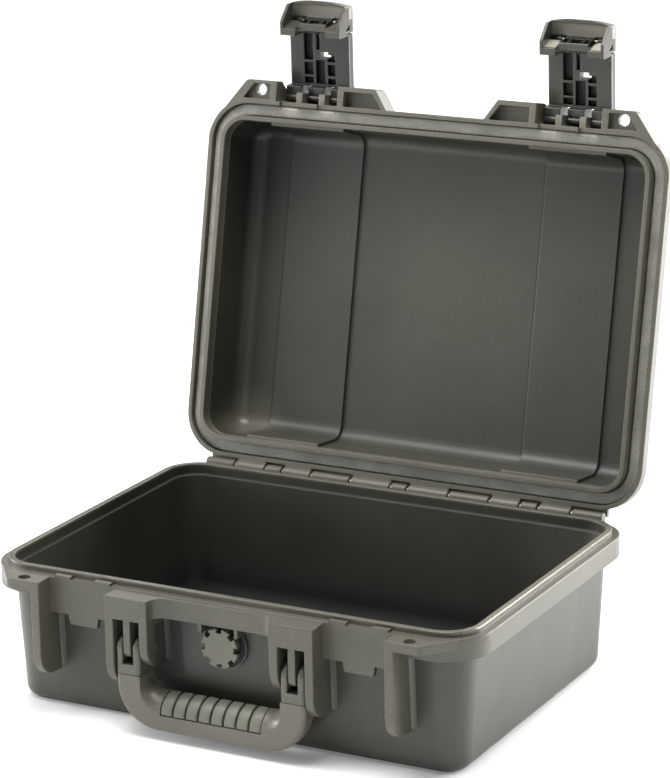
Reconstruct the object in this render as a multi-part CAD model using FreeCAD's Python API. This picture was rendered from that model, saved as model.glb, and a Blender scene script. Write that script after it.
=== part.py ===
"""Protective hard case with an open lid, two latches and a drop handle.

X runs left to right, Y front to back and Z up. The origin is the middle of the
underside of the base. Every piece is drawn with the case shut and the latches
down, and is then swung to the pose at rest: lid open, latches upright.
"""
import FreeCAD, Part
import math
import os

V = FreeCAD.Vector
AXIS_X = V(1, 0, 0)
AXIS_Y = V(0, 1, 0)
AXIS_Z = V(0, 0, 1)

# Case body, millimetres
OPENING_W = 381.0
OPENING_D = 270.0
BASE_H = 112.0
LID_H = 50.0
WALL_T = 4.2
FLOOR_T = 4.0
WALL_DRAFT_DEG = 3.4
CORNER_R = 24.0
BASE_EDGE_R = 10.0
BASE_FLOOR_R = 12.0
WALL_OUT = 0.9
OVERRUN = 20.0
EDGE_R = 0.8
FILLET_LAND = 0.2
LEVEL_TOL = 0.0001

# Rim, flange and parting line
RIM_T = 5.2
RIM_H = 4.0
LEDGE_DROP = 8.6
FLANGE_OUT = 11.2
FLANGE_T = 4.0
SKIRT_T = 3.0
SKIRT_H = 16.0
PARTING_GAP = 0.3

# Lid
LIP_T = 3.6
LIP_IN = 5.9
LIP_DROP = 4.4
GROOVE_W = 10.0
GASKET_T = 3.0
GASKET_W = 9.0
GASKET_GAP = 0.3
LID_FLANGE_H = 11.0
LID_FLANGE_R = 2.4
LID_WALL_T = 4.0
LID_ROOF_T = 4.0
LID_DRAFT_DEG = 5.0
LID_EDGE_R = 13.0
LID_ROOF_R = 12.0
BAND_DEPTH = 2.4
BAND_WIDER = 4.5
OPEN_DEG = 101.86
LATCH_OPEN_DEG = 76.6

# Hinge
HINGE_BEHIND = 17.3
HINGE_END_IN = 13.5
KNUCKLE_R = 4.6
KNUCKLE_GAP = 1.6
KNUCKLE_WEB_H = 7.0
KNUCKLE_BOUNDS_SHARE = (0.0, 0.042, 0.248, 0.449, 0.598, 0.686, 0.845, 1.0)
KNUCKLE_EDGE_R = 1.2
KNUCKLE_SHIFT = -2.4
HINGE_LEDGE_UP = 6.0
HINGE_LEDGE_BACK = 5.6
HINGE_PIN_R = 2.2
HINGE_PIN_BITE = 14.0
HINGE_PIN_SPLIT = 6.0
RUNNING_FIT = 0.06
FIXED_FIT = 0.02

# Front of the case: ears, fins and latch channels
FRONT_OUT = 27.2
LATCH_SIDE_IN = 76.25
CHANNEL_HALF = 28.25
CHANNEL_DEPTH = 2.0
CHANNEL_DROP = 74.0
FIN_T = 7.0
FIN_DROP = 78.5
ROOT_LEG = 3.0
FIN_NOSE_R = 18.0
FIN_WALL_DROP = 2.0
EAR_T = 7.0
EAR_W = 27.5
EAR_SIDE_BACK = 40.0
EAR_SIDE_R = 24.0
EAR_NOSE_R = 6.0
EAR_FALL = 41.0
EYE_R = 4.75
EYE_BESIDE = 16.5
EYE_IN = 7.6
CATCH_PLATE_T = 4.0
CATCH_PLATE_H = 27.3
CATCH_TAB_H = 7.5
CATCH_TAB_HALF = 12.9
CATCH_TAB_TAPER = 1.2
PAD_H = 2.0
PAD_IN = 10.0
PAD_OUT = 24.0
PAD_D = 5.0
PAD_CLEAR = 0.6

# Handle brackets on the base
BRACKET_T = 6.9
BAY_HALF = 10.9
HANDLE_PIN_IN = 11.2
HANDLE_PIN_DROP = 45.5
HANDLE_PIN_R = 3.0
PIN_HEAD_R = 4.2
PIN_HEAD_T = 1.2
PIN_HEAD_SINK = 0.4
BRIDGE_H = 17.0
BRACKET_TOP_DROP = 1.0
OUTER_DROP = 74.5
INNER_DROP = 58.0
MID_RIB_T = 5.6
MID_RIB_BELOW = 6.5
MIDDLE_IN = 12.5
MIDDLE_COVE_R = 13.0

# Handle
ARM_W = 20.0
ARM_R = 10.0
ARM_BACK_IN = 3.0
ARM_BACK_R = 8.4
FORK_SLOT = 8.6
FORK_DEPTH = 10.8
FORK_SIDE_R = 3.0
FORK_SLOT_R = 1.4
SEAM_DROP = 18.3
SEAM_GROOVE = 0.5
BOW_T = 16.5
BOW_DROP = 59.0
BOW_CORNER_R = 33.0
BAR_H = 27.6
BOW_LIP_H = 12.8
BOW_LIP_R = 16.0
BOW_INNER_R = 12.4
BOW_STATIONS = 7
BOW_EDGE_R = 3.5
CORE_W = 9.5
CORE_T = 7.5
GRIP_END_IN = 16.2
RIB_PITCH = 10.5
RIB_GROOVE = 0.9
RIB_GROOVE_DEPTH = 1.2
GRIP_SKIN_T = 3.2

# Vent valve
VENT_DROP = 38.4
VENT_R = 15.3
VENT_T = 4.6
VENT_NOTCHES = 8
VENT_NOTCH_W = 4.4
VENT_NOTCH_DEPTH = 3.4
VENT_COLLAR_R = 18.4
VENT_COLLAR_T = 1.2
VENT_COLLAR_PROUD = 1.5
VENT_BODY_R = 13.0
VENT_BODY_T = 3.6
VENT_STEM_R = 7.0
VENT_BORE_R = 3.4
VENT_SEAL_T = 1.5
VENT_SEAL_EDGE_IN = 0.5
VENT_SEAT_PROUD = 1.6
VENT_NUT_R = 11.5
NUT_SIDES = 6
VENT_NUT_T = 4.0
VENT_NUT_BOSS_R = 13.5
VENT_NUT_BOSS_T = 1.2
VENT_TAIL = 1.5
MEMBRANE_R = 5.6
MEMBRANE_T = 0.8
VENT_POST_X = 15.0
VENT_POST_T = 3.0
VENT_POST_H = 8.0

# Latch, measured from its pivot on the lid: q outwards, l along the latch
PIVOT_IN = 12.2
PIVOT_UP = 19.0
LUG_R = 4.5
LUG_T = 5.4
LUG_X = 10.2
LUG_FOOT = 6.0
LATCH_PIN_R = 2.0
LATCH_HALF = 26.9
SLAB_Q = 5.0
SLAB_T = 8.0
SLAB_START = 5.5
SLAB_END = 54.2
SLAB_EDGE_R = 1.2
LATCH_KNUCKLE_R = 4.4
KNUCKLE_FACE_Q = 3.0
KNUCKLE_TOP = 10.5
LUG_NOTCH_TOP = 10.0
LATCH_SIDE_CLEAR = 0.5
POCKET_DEPTH = 5.2
POCKET_X_SHARE = ((-0.52, -0.21), (-0.13, 0.19), (0.27, 0.53))
POCKET_L_SHARE = (
    ((0.22, 0.32), (0.35, 0.54), (0.58, 0.98)),
    ((0.22, 0.58),),
    ((0.22, 0.31), (0.35, 0.52), (0.56, 0.67)),
)
SPRING_SLOT_SHARE = (-0.10, 0.02, 0.74, 1.0)
HATCH_SHARE = (0.0, 0.29, 0.61, 0.71)
SPRING_WIRE_R = 0.5
SPRING_RISE = 1.4

# Release paddle at the foot of the latch
PADDLE_START = 55.4
PADDLE_TIP = 79.6
PADDLE_SKIN_T = 2.5
PADDLE_TIP_ARCH = 3.4
PADDLE_LIP_T = 3.0
PADDLE_REACH = 10.6
PADDLE_FOOT = 53.2
CHEEK_T = 2.4
CHEEK_TOP = 64.4
SHELF_T = 5.6
SHELF_SLOPE = 4.2
SHELF_IN = 13.8
HOOK_HALF = 12.0
HOOK_FRONT_Q = 6.0
HOOK_START = 59.0
HOOK_FRONT_END = 62.8
HOOK_END = 66.3
HOOK_WALL = 1.6
HOOK_SLOT_SHARE = ((-0.86, -0.60), (-0.36, 0.36), (0.60, 0.86))
HOOK_JOINER_START = 57.0
WINDOW_Q = 7.5
WINDOW_W = 8.0
WINDOW_L = 57.2
WINDOW_H = 5.0
ARM_PLATE_X = 16.8
ARM_PLATE_T = 3.6
ARM_PLATE_Q = 3.7
PADDLE_PIN_L = 63.0
PADDLE_PIN_Q = 7.2
PADDLE_PIN_R = 1.1

# Guards and lugs on the lid, beside the latches
GUARD_H = 25.0
GUARD_W = 33.0
GUARD_SLANT = 11.0
GUARD_WALL = 3.8
GUARD_SIDE_WALL = 5.4
GUARD_BACK_R = 11.0
GUARD_SIDE_R = 2.4
GUARD_POCKET_DEPTH = 8.0
EAR_LID_H = 10.0
EAR_WALL = 5.5
EAR_POCKET_DEPTH = 5.0
GUSSET_T = 4.5
GUSSET_H = 33.0
GUSSET_LIP = 1.2
GUSSET_SLOPE = 15.0

# Places that several pieces share
FLANGE_Z = BASE_H - RIM_H
LID_Z = FLANGE_Z + PARTING_GAP
LID_TOP = LID_Z + LID_H
HINGE_Y = OPENING_D / 2 + HINGE_BEHIND
HINGE_Z = FLANGE_Z + PARTING_GAP / 2
HINGE_HALF = OPENING_W / 2 - HINGE_END_IN
FRONT_Y = -(OPENING_D / 2 + FRONT_OUT)
FLANGE_FRONT_Y = -(OPENING_D / 2 + FLANGE_OUT)
SIDE_X = OPENING_W / 2 + FLANGE_OUT
LATCH_X = OPENING_W / 2 - LATCH_SIDE_IN
CHANNEL_IN_X = LATCH_X - CHANNEL_HALF
CHANNEL_OUT_X = LATCH_X + CHANNEL_HALF
CHANNEL_FOOT = BASE_H - CHANNEL_DROP
FIN_FOOT = BASE_H - FIN_DROP
OUTER_FOOT = BASE_H - OUTER_DROP
INNER_FOOT = BASE_H - INNER_DROP
EYE_X = CHANNEL_OUT_X + EYE_BESIDE
VENT_Z = BASE_H - VENT_DROP
HANDLE_X = CHANNEL_IN_X - BRACKET_T - BAY_HALF
PIVOT_Y = FRONT_Y + PIVOT_IN
PIVOT_Z = LID_Z + PIVOT_UP
HANDLE_Y = FRONT_Y + HANDLE_PIN_IN
HANDLE_Z = BASE_H - HANDLE_PIN_DROP
SEAM_Z = HANDLE_Z - SEAM_DROP
BOW_FOOT = HANDLE_Z - BOW_DROP
RIB_COUNT = round(2 * (HANDLE_X - ARM_W / 2 - GRIP_END_IN) / RIB_PITCH)
LEDGE_Z = BASE_H - LEDGE_DROP
GROOVE_FLOOR_Z = BASE_H + GASKET_GAP + GASKET_T


def draft(height, degrees):
    """How far a wall with this draft leans in over a height."""
    return height * math.tan(math.radians(degrees))


def box(x0, x1, y0, y1, z0, z1):
    """Block between two corners."""
    return Part.makeBox(x1 - x0, y1 - y0, z1 - z0, V(x0, y0, z0))


def rod(radius, start, end):
    """Cylinder from one point to another."""
    along = end - start
    return Part.makeCylinder(radius, along.Length, start, along)


def rounded_outline(points, radii, place):
    """Closed wire through 2D points, each corner rounded by its own radius."""
    count = len(points)
    ends = []
    for index in range(count):
        corner = V(points[index][0], points[index][1], 0)
        before = V(points[index - 1][0], points[index - 1][1], 0)
        after = V(points[(index + 1) % count][0], points[(index + 1) % count][1], 0)
        if radii[index] == 0:
            ends.append((corner, corner, corner))
            continue
        to_before = (before - corner).normalize()
        to_after = (after - corner).normalize()
        half = to_before.getAngle(to_after) / 2
        run = radii[index] / math.tan(half)
        bisector = (to_before + to_after).normalize()
        centre = corner + bisector * (radii[index] / math.sin(half))
        middle = centre - bisector * radii[index]
        ends.append((corner + to_before * run, middle, corner + to_after * run))
    edges = []
    for index in range(count):
        enter, middle, leave = (place(p.x, p.y) for p in ends[index])
        if enter.distanceToPoint(leave) > 0:
            edges.append(Part.Arc(enter, middle, leave).toShape())
        following = ends[(index + 1) % count][0]
        following = place(following.x, following.y)
        if leave.distanceToPoint(following) > Part.Precision.confusion():
            edges.append(Part.LineSegment(leave, following).toShape())
    return Part.Wire(edges)


def plan_prism(points, radii, z0, z1):
    """Upright prism on an outline drawn in plan."""
    wire = rounded_outline(points, radii, lambda u, v: V(u, v, z0))
    return Part.Face(wire).extrude(V(0, 0, z1 - z0))


def side_prism(points, radii, x0, x1):
    """Prism across the case on an outline drawn in the side view, as (y, z)."""
    wire = rounded_outline(points, radii, lambda u, v: V(x0, u, v))
    return Part.Face(wire).extrude(V(x1 - x0, 0, 0))


def front_prism(points, radii, y0, y1):
    """Prism towards the back on an outline drawn in the front view, as (x, z)."""
    wire = rounded_outline(points, radii, lambda u, v: V(u, y0, v))
    return Part.Face(wire).extrude(V(0, y1 - y0, 0))


def ring_outline(offset, z):
    """Rounded rectangle that lies this far outside the base opening."""
    half_x = OPENING_W / 2 + offset
    half_y = OPENING_D / 2 + offset
    corners = ((half_x, -half_y), (half_x, half_y), (-half_x, half_y), (-half_x, -half_y))
    return rounded_outline(corners, [CORNER_R + offset] * len(corners), lambda u, v: V(u, v, z))


def slab(offset, z0, z1):
    """Full rounded rectangle between two heights."""
    return Part.Face(ring_outline(offset, z0)).extrude(V(0, 0, z1 - z0))


def band(outer, inner, z0, z1):
    """Ring between two offsets of the opening."""
    return slab(outer, z0, z1).cut(slab(inner, z0, z1))


def tapered(offset_low, z_low, offset_high, z_high):
    """Drafted block whose outline changes from one offset to another."""
    wires = [ring_outline(offset_low, z_low), ring_outline(offset_high, z_high)]
    return Part.makeLoft(wires, True, True)


def rim_edges(shape, z):
    """Edges of a shape that lie in one level plane."""
    return [
        e for e in shape.Edges
        if abs(e.BoundBox.ZMin - z) < LEVEL_TOL and abs(e.BoundBox.ZMax - z) < LEVEL_TOL
    ]


def soften_level(shape, radius, z):
    """Round the edges in one level plane."""
    return shape.makeFillet(radius, rim_edges(shape, z))


def soften_along(shape, radius, axis, where):
    """Round the straight edges along an axis whose middle passes a test."""
    picked = []
    for edge in shape.Edges:
        if not isinstance(edge.Curve, Part.Line):
            continue
        if abs(abs(edge.Curve.Direction.dot(axis)) - 1) < Part.Precision.confusion():
            if where(edge.CenterOfMass):
                picked.append(edge)
    return shape.makeFillet(radius, picked)


def mirrored(shape):
    """The same shape on the other side of the case."""
    return shape.mirror(V(0, 0, 0), AXIS_X)


def both_sides(shape):
    """A shape and its mirror image."""
    return [shape, mirrored(shape)]


def fuse(first, others):
    """One solid from several that touch."""
    return first.fuse(others).removeSplitter()


def wall_y(z):
    """Outer face of the front wall of the base at a height."""
    return -(OPENING_D / 2 + WALL_OUT - draft(FLANGE_Z - z, WALL_DRAFT_DEG))


def ear(z0, z1):
    """Padlock ear at the right front corner."""
    points = (
        (CHANNEL_OUT_X, FRONT_Y),
        (CHANNEL_OUT_X + EAR_W, FRONT_Y),
        (SIDE_X, FRONT_Y + EAR_FALL),
        (SIDE_X, FRONT_Y + EAR_FALL + EAR_SIDE_BACK),
        (CHANNEL_OUT_X, FRONT_Y + EAR_FALL + EAR_SIDE_BACK),
    )
    radii = (0, EAR_NOSE_R, EAR_SIDE_R, 0, 0)
    return plan_prism(points, radii, z0, z1)


def fin_plate(x0, x1, top, foot):
    """Upright plate on the front of the base with a round nose at its foot."""
    back = wall_y(top) + WALL_T / 2
    points = ((FRONT_Y, top), (back, top), (back, foot - FIN_WALL_DROP), (FRONT_Y, foot))
    plate = side_prism(points, (0, 0, 0, FIN_NOSE_R), x0, x1)
    return soften_along(plate, EDGE_R, AXIS_Z, lambda p: p.y < FRONT_Y + EDGE_R)


def base_cavity():
    """Inside of the base, up through the opening."""
    inset = WALL_OUT - WALL_T
    low = inset - draft(LEDGE_Z - FLOOR_T, WALL_DRAFT_DEG)
    room = tapered(low, FLOOR_T, inset, LEDGE_Z)
    room = soften_level(room, BASE_FLOOR_R, FLOOR_T)
    return room.fuse(slab(0, LEDGE_Z, BASE_H + OVERRUN))


def latch_channel():
    """Shallow channel in the front wall under one latch, which fades out towards its foot."""
    depth = CHANNEL_DEPTH
    foot = -draft(FLANGE_Z, WALL_DRAFT_DEG) + WALL_OUT
    run_out = depth * CHANNEL_FOOT / (FLANGE_Z - CHANNEL_FOOT)
    outer = tapered(foot + OVERRUN, 0, WALL_OUT + OVERRUN, FLANGE_Z)
    inner = tapered(foot + run_out, 0, WALL_OUT - depth, FLANGE_Z)
    reach = box(
        CHANNEL_IN_X, CHANNEL_OUT_X,
        FRONT_Y - OVERRUN, wall_y(FLANGE_Z) + WALL_T + BASE_EDGE_R,
        CHANNEL_FOOT - EDGE_R, FLANGE_Z - FLANGE_T,
    )
    return outer.cut(inner).common(reach)


def catch():
    """Catch plate and tab that the paddle hooks under, right side."""
    y0 = FLANGE_FRONT_Y
    y1 = y0 + CATCH_PLATE_T
    foot = FLANGE_Z - CATCH_PLATE_H
    plate = box(CHANNEL_IN_X, CHANNEL_OUT_X, y0, y1, foot, FLANGE_Z)
    half = CATCH_TAB_HALF
    narrow = half - CATCH_TAB_TAPER
    points = (
        (LATCH_X - half, foot + CATCH_TAB_H), (LATCH_X + half, foot + CATCH_TAB_H),
        (LATCH_X + half, foot), (LATCH_X + narrow, foot - CATCH_TAB_H),
        (LATCH_X - narrow, foot - CATCH_TAB_H), (LATCH_X - half, foot),
    )
    tab = front_prism(points, [0] * len(points), y0, y1)
    pads = []
    for side in (-1, 1):
        x0, x1 = sorted((LATCH_X + side * PAD_IN, LATCH_X + side * PAD_OUT))
        pads.append(box(x0, x1, y0, y0 + PAD_D, FLANGE_Z - FLANGE_T, FLANGE_Z + PAD_H))
    return plate.fuse([tab] + pads)


def bracket():
    """Handle bracket on the right: bridge, two side plates and a middle rib."""
    top = FLANGE_Z - BRACKET_TOP_DROP
    inner_x = HANDLE_X - BAY_HALF - BRACKET_T
    outer_x = CHANNEL_IN_X
    outer = fin_plate(outer_x - BRACKET_T, outer_x, top, OUTER_FOOT)
    inner = fin_plate(inner_x, inner_x + BRACKET_T, top, INNER_FOOT)
    bridge = box(inner_x, outer_x, FRONT_Y, wall_y(FLANGE_Z), top - BRIDGE_H, top)
    front_edges = [e for e in rim_edges(bridge, top) if e.CenterOfMass.y < FRONT_Y + EDGE_R]
    bridge = bridge.makeFillet(EDGE_R, front_edges)
    rib_face = HANDLE_Y - ARM_R
    points = (
        (rib_face, top - BRIDGE_H), (wall_y(top) + WALL_T / 2, top - BRIDGE_H),
        (wall_y(top) + WALL_T / 2, HANDLE_Z - MID_RIB_BELOW), (rib_face, HANDLE_Z - MID_RIB_BELOW),
    )
    half = MID_RIB_T / 2
    rib = side_prism(points, (0, 0, 0, MID_RIB_BELOW), HANDLE_X - half, HANDLE_X + half)
    return outer.fuse([inner, bridge, rib])


def middle_face():
    """Set-back flange face between the brackets, with its coved corners."""
    inner_x = HANDLE_X - BAY_HALF - BRACKET_T
    face_y = FRONT_Y + MIDDLE_IN
    points = (
        (-inner_x - BRACKET_T / 2, FRONT_Y + EDGE_R), (-inner_x, FRONT_Y + EDGE_R),
        (-inner_x, face_y), (inner_x, face_y), (inner_x, FRONT_Y + EDGE_R),
        (inner_x + BRACKET_T / 2, FRONT_Y + EDGE_R), (inner_x + BRACKET_T / 2, wall_y(FLANGE_Z)),
        (-inner_x - BRACKET_T / 2, wall_y(FLANGE_Z)),
    )
    radii = (0, 0, MIDDLE_COVE_R - EDGE_R * 2, MIDDLE_COVE_R - EDGE_R * 2, 0, 0, 0, 0)
    return plan_prism(points, radii, FLANGE_Z - SKIRT_H, FLANGE_Z - BRACKET_TOP_DROP)


def knuckles(owner):
    """Spans of the hinge knuckles of one owner: 0 for the base, 1 for the lid."""
    bounds = [share * HINGE_HALF for share in KNUCKLE_BOUNDS_SHARE]
    shift = KNUCKLE_SHIFT
    spans = []
    for index in range(len(bounds) - 1):
        if index % 2 != owner:
            continue
        x0 = bounds[index] + KNUCKLE_GAP / 2
        x1 = bounds[index + 1] - KNUCKLE_GAP / 2
        if index == 0:
            spans.append((shift - x1, shift + x1))
        else:
            spans.extend([(shift + x0, shift + x1), (shift - x1, shift - x0)])
    return spans


def hinge_pin_spans():
    """Ends of the three hinge pins, each held by base knuckles."""
    spans = knuckles(0)
    wide_right, wide_left = spans[1:3]
    end_right, end_left = spans[-2:]
    half = (wide_right[1] - wide_right[0] - HINGE_PIN_SPLIT) / 2
    return {
        "left": (end_left[1] - HINGE_PIN_BITE, wide_left[0] + half),
        "center": (wide_left[1] - half, wide_right[0] + half),
        "right": (wide_right[1] - half, end_right[0] + HINGE_PIN_BITE),
    }


def knuckle(span, up):
    """One knuckle with its web, below the parting line or above it."""
    x0, x1 = span
    barrel = rod(KNUCKLE_R, V(x0, HINGE_Y, HINGE_Z), V(x1, HINGE_Y, HINGE_Z))
    root = HINGE_Y - HINGE_BEHIND + FLANGE_OUT - SKIRT_T / 2
    near = LID_Z if up else FLANGE_Z
    far = near + KNUCKLE_WEB_H if up else near - KNUCKLE_WEB_H
    z0, z1 = sorted((near, far))
    points = ((root, z0), (root, z1), (HINGE_Y, z1), (HINGE_Y, z0))
    lean = (0, 0, KNUCKLE_R / 2, 0) if up else (0, 0, 0, KNUCKLE_R / 2)
    barrel = barrel.makeFillet(KNUCKLE_EDGE_R, [e for e in barrel.Edges if isinstance(e.Curve, Part.Circle)])
    return barrel.fuse(side_prism(points, lean, x0 + KNUCKLE_EDGE_R / 2, x1 - KNUCKLE_EDGE_R / 2))


def hinge_ledge():
    """Ledge of the lid over the base knuckles, which closes the gap behind them."""
    root = OPENING_D / 2 + FLANGE_OUT - SKIRT_T
    back = OPENING_D / 2 + FLANGE_OUT + HINGE_LEDGE_BACK
    low = LID_Z + HINGE_LEDGE_UP
    high = LID_Z + LID_FLANGE_H - EDGE_R
    points = ((root, low), (root, high), (back, high), (back, low))
    end_right, end_left = knuckles(0)[-2:]
    return side_prism(points, (0, 0, EDGE_R * 2, EDGE_R), end_left[0], end_right[1])


def hinge_bores(clearance):
    """Bores for the three hinge pins."""
    bores = []
    for x0, x1 in hinge_pin_spans().values():
        bores.append(rod(HINGE_PIN_R + clearance, V(x0, HINGE_Y, HINGE_Z), V(x1, HINGE_Y, HINGE_Z)))
    return bores


def vent_seat_y():
    """Face that the vent valve seals on."""
    return wall_y(VENT_Z) - VENT_SEAT_PROUD


def vent_disc(radius, y0, y1):
    """Disc on the axis of the vent valve."""
    return rod(radius, V(0, y0, VENT_Z), V(0, y1, VENT_Z))


def vent_nut_y():
    """Inner face that the nut of the vent valve sits on."""
    return wall_y(VENT_Z) + WALL_T + VENT_NUT_BOSS_T


def vent_seat():
    """Collar and bosses that carry the vent valve in the front wall."""
    seat = vent_seat_y()
    inside = wall_y(VENT_Z) + WALL_T / 2
    collar = vent_disc(VENT_COLLAR_R, seat - VENT_COLLAR_PROUD, inside)
    pocket = vent_disc(VENT_COLLAR_R - VENT_COLLAR_T, seat - VENT_COLLAR_PROUD, seat)
    boss = vent_disc(VENT_NUT_BOSS_R, inside, vent_nut_y())
    posts = []
    for side in (-1, 1):
        x = side * VENT_POST_X
        top = FLANGE_Z - SKIRT_H
        posts.append(box(x - VENT_POST_T / 2, x + VENT_POST_T / 2, FRONT_Y + MIDDLE_IN + SKIRT_T, inside,
                         top - VENT_POST_H, top))
    return collar.cut(pocket), boss, posts


def root_strip(face_x, way, foot, sink):
    """Strip that eases the corner between a plate on the front and the wall beside it."""
    top = FLANGE_Z - FLANGE_T
    wires = []
    for z, deep in ((foot, 0), (top, sink)):
        y = wall_y(z) + deep
        inside = y + WALL_T / 2
        corners = ((face_x, y - ROOT_LEG), (face_x + way * ROOT_LEG, y), (face_x + way * ROOT_LEG, inside),
                   (face_x - way * ROOT_LEG, inside), (face_x - way * ROOT_LEG, y - ROOT_LEG))
        wires.append(rounded_outline(corners, [0] * len(corners), lambda u, v, z=z: V(u, v, z)))
    return Part.makeLoft(wires, True, True)


def root_strips():
    """Strips beside the fin and the two plates of the bracket on the right."""
    inner_x = HANDLE_X - BAY_HALF - BRACKET_T
    return [
        root_strip(CHANNEL_OUT_X, -1, FIN_FOOT, CHANNEL_DEPTH),
        root_strip(CHANNEL_OUT_X + FIN_T, 1, FIN_FOOT, 0),
        root_strip(CHANNEL_IN_X, 1, OUTER_FOOT, CHANNEL_DEPTH),
        root_strip(CHANNEL_IN_X - BRACKET_T, -1, OUTER_FOOT, 0),
        root_strip(inner_x, -1, INNER_FOOT, 0),
        root_strip(inner_x + BRACKET_T, 1, INNER_FOOT, 0),
    ]


def base_shell():
    """Moulded base with flange, rim, ears, fins, brackets and hinge knuckles."""
    foot = WALL_OUT - draft(FLANGE_Z, WALL_DRAFT_DEG)
    body = soften_level(tapered(foot, 0, WALL_OUT, FLANGE_Z), BASE_EDGE_R, 0)
    channel = latch_channel()
    body = body.cut(both_sides(channel))
    top_plate = soften_level(slab(FLANGE_OUT, FLANGE_Z - FLANGE_T, FLANGE_Z), EDGE_R, FLANGE_Z)
    skirt = band(FLANGE_OUT, FLANGE_OUT - SKIRT_T, FLANGE_Z - SKIRT_H, FLANGE_Z - FLANGE_T)
    rim = soften_level(band(RIM_T, 0, LEDGE_Z, BASE_H), EDGE_R, BASE_H)
    collar, boss, posts = vent_seat()
    parts = [top_plate, skirt, rim, middle_face(), collar, boss] + posts
    ear_plate = soften_level(ear(FLANGE_Z - EAR_T, FLANGE_Z), EDGE_R, FLANGE_Z)
    right = [
        ear_plate,
        fin_plate(CHANNEL_OUT_X, CHANNEL_OUT_X + FIN_T, FLANGE_Z - EDGE_R * 2, FIN_FOOT),
        catch(),
        bracket(),
    ] + root_strips()
    for piece in right:
        parts.extend(both_sides(piece))
    parts.extend(knuckle(span, False) for span in knuckles(0))
    shell = fuse(body, parts)
    cuts = [base_cavity().cut([boss])]
    eye_y = FRONT_Y + EYE_IN
    for side in (-1, 1):
        eye_low = V(side * EYE_X, eye_y, FLANGE_Z - EAR_T - OVERRUN)
        cuts.append(rod(EYE_R, eye_low, V(side * EYE_X, eye_y, BASE_H)))
        cuts.append(handle_bore(side))
    cuts.append(vent_disc(VENT_STEM_R + FIXED_FIT, FRONT_Y, vent_nut_y() + OVERRUN))
    cuts.extend(hinge_bores(FIXED_FIT))
    return shell.cut(cuts)


def handle_pin_ends(side):
    """Ends of one handle pin, between the faces of its bracket."""
    x0 = HANDLE_X - BAY_HALF - BRACKET_T
    return side * x0, side * CHANNEL_IN_X


def handle_bore(side):
    """Bore with a counterbore at each end for one handle pin."""
    inner, outer = handle_pin_ends(side)
    bore = rod(HANDLE_PIN_R + FIXED_FIT, V(inner, HANDLE_Y, HANDLE_Z), V(outer, HANDLE_Y, HANDLE_Z))
    heads = []
    for x in (inner, outer):
        inwards = PIN_HEAD_T if x == min(inner, outer) else -PIN_HEAD_T
        ends = (V(x, HANDLE_Y, HANDLE_Z), V(x + inwards, HANDLE_Y, HANDLE_Z))
        heads.append(rod(PIN_HEAD_R + RUNNING_FIT, *ends))
    return bore.fuse(heads)


def handle_pin(side):
    """Steel pin of the handle with riveted heads sunk in the bracket."""
    inner, outer = handle_pin_ends(side)
    x0, x1 = sorted((inner, outer))
    x0 += PIN_HEAD_SINK
    x1 -= PIN_HEAD_SINK
    shank = rod(HANDLE_PIN_R, V(x0, HANDLE_Y, HANDLE_Z), V(x1, HANDLE_Y, HANDLE_Z))
    thick = PIN_HEAD_T - PIN_HEAD_SINK - RUNNING_FIT
    left = rod(PIN_HEAD_R, V(x0, HANDLE_Y, HANDLE_Z), V(x0 + thick, HANDLE_Y, HANDLE_Z))
    right = rod(PIN_HEAD_R, V(x1 - thick, HANDLE_Y, HANDLE_Z), V(x1, HANDLE_Y, HANDLE_Z))
    return fuse(shank, [left, right])


def band_zone(half):
    """Two upright zones across the lid in line with the latches."""
    return [box(side * LATCH_X - half, side * LATCH_X + half, FRONT_Y, HINGE_Y, 0, LID_TOP + OVERRUN)
            for side in (-1, 1)]


def rounded_dome(offset, z_low, height, radius):
    """Drafted dome from a level upwards with a rounded upper edge."""
    top = z_low + height
    dome = tapered(offset, z_low, offset - draft(height, LID_DRAFT_DEG), top)
    return soften_level(dome, radius, top)


def with_bands(full, shallow, zone):
    """A dome that is lower and narrower inside the zones of the bands."""
    return full.cut(zone).fuse([shallow.common(part) for part in zone]).removeSplitter()


def lid_cavity():
    """Inside of the lid with the two raised bands left standing."""
    height = LID_H - LID_ROOF_T
    room = rounded_dome(-LIP_IN, LID_Z, height, LID_ROOF_R)
    inner = rounded_dome(-LIP_IN - BAND_DEPTH, LID_Z, height - BAND_DEPTH, LID_ROOF_R)
    room = with_bands(room, inner, band_zone(CHANNEL_HALF + BAND_WIDER))
    return room.fuse(slab(-LIP_IN, LID_Z - OVERRUN, LID_Z + LIP_DROP))


def lid_dome():
    """Outside of the lid with a shallow channel over each latch."""
    wall = LID_WALL_T - LIP_IN
    full = rounded_dome(wall, LID_Z, LID_H, LID_EDGE_R)
    inner = rounded_dome(wall - BAND_DEPTH, LID_Z, LID_H - BAND_DEPTH, LID_EDGE_R)
    return with_bands(full, inner, band_zone(CHANNEL_HALF))


def guard():
    """Hollow guard beside the latch on the right half of the lid."""
    x1 = CHANNEL_IN_X + EDGE_R
    x0 = x1 - GUARD_W
    y1 = -(OPENING_D / 2)
    y_root = FLANGE_FRONT_Y
    points = ((x1, FRONT_Y), (x1, y1), (x0 - GUARD_SLANT, y1), (x0 - GUARD_SLANT, y_root), (x0, FRONT_Y))
    radii = (0, 0, 0, 0, GUARD_SIDE_R)
    block = plan_prism(points, radii, LID_Z, LID_Z + GUARD_H)
    front = FRONT_Y + EDGE_R
    block = soften_along(block, GUARD_BACK_R, AXIS_X, lambda p: p.z > LID_Z + EDGE_R and p.y < front)
    wall = GUARD_WALL
    pocket_points = (
        (x1 - GUARD_SIDE_WALL, FRONT_Y + wall), (x1 - GUARD_SIDE_WALL, y_root),
        (x0 - GUARD_SLANT + wall, y_root), (x0 + wall / 2, FRONT_Y + wall),
    )
    radii = [EDGE_R] * len(pocket_points)
    pocket = plan_prism(pocket_points, radii, LID_Z - OVERRUN, LID_Z + GUARD_POCKET_DEPTH)
    return block, pocket


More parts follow.
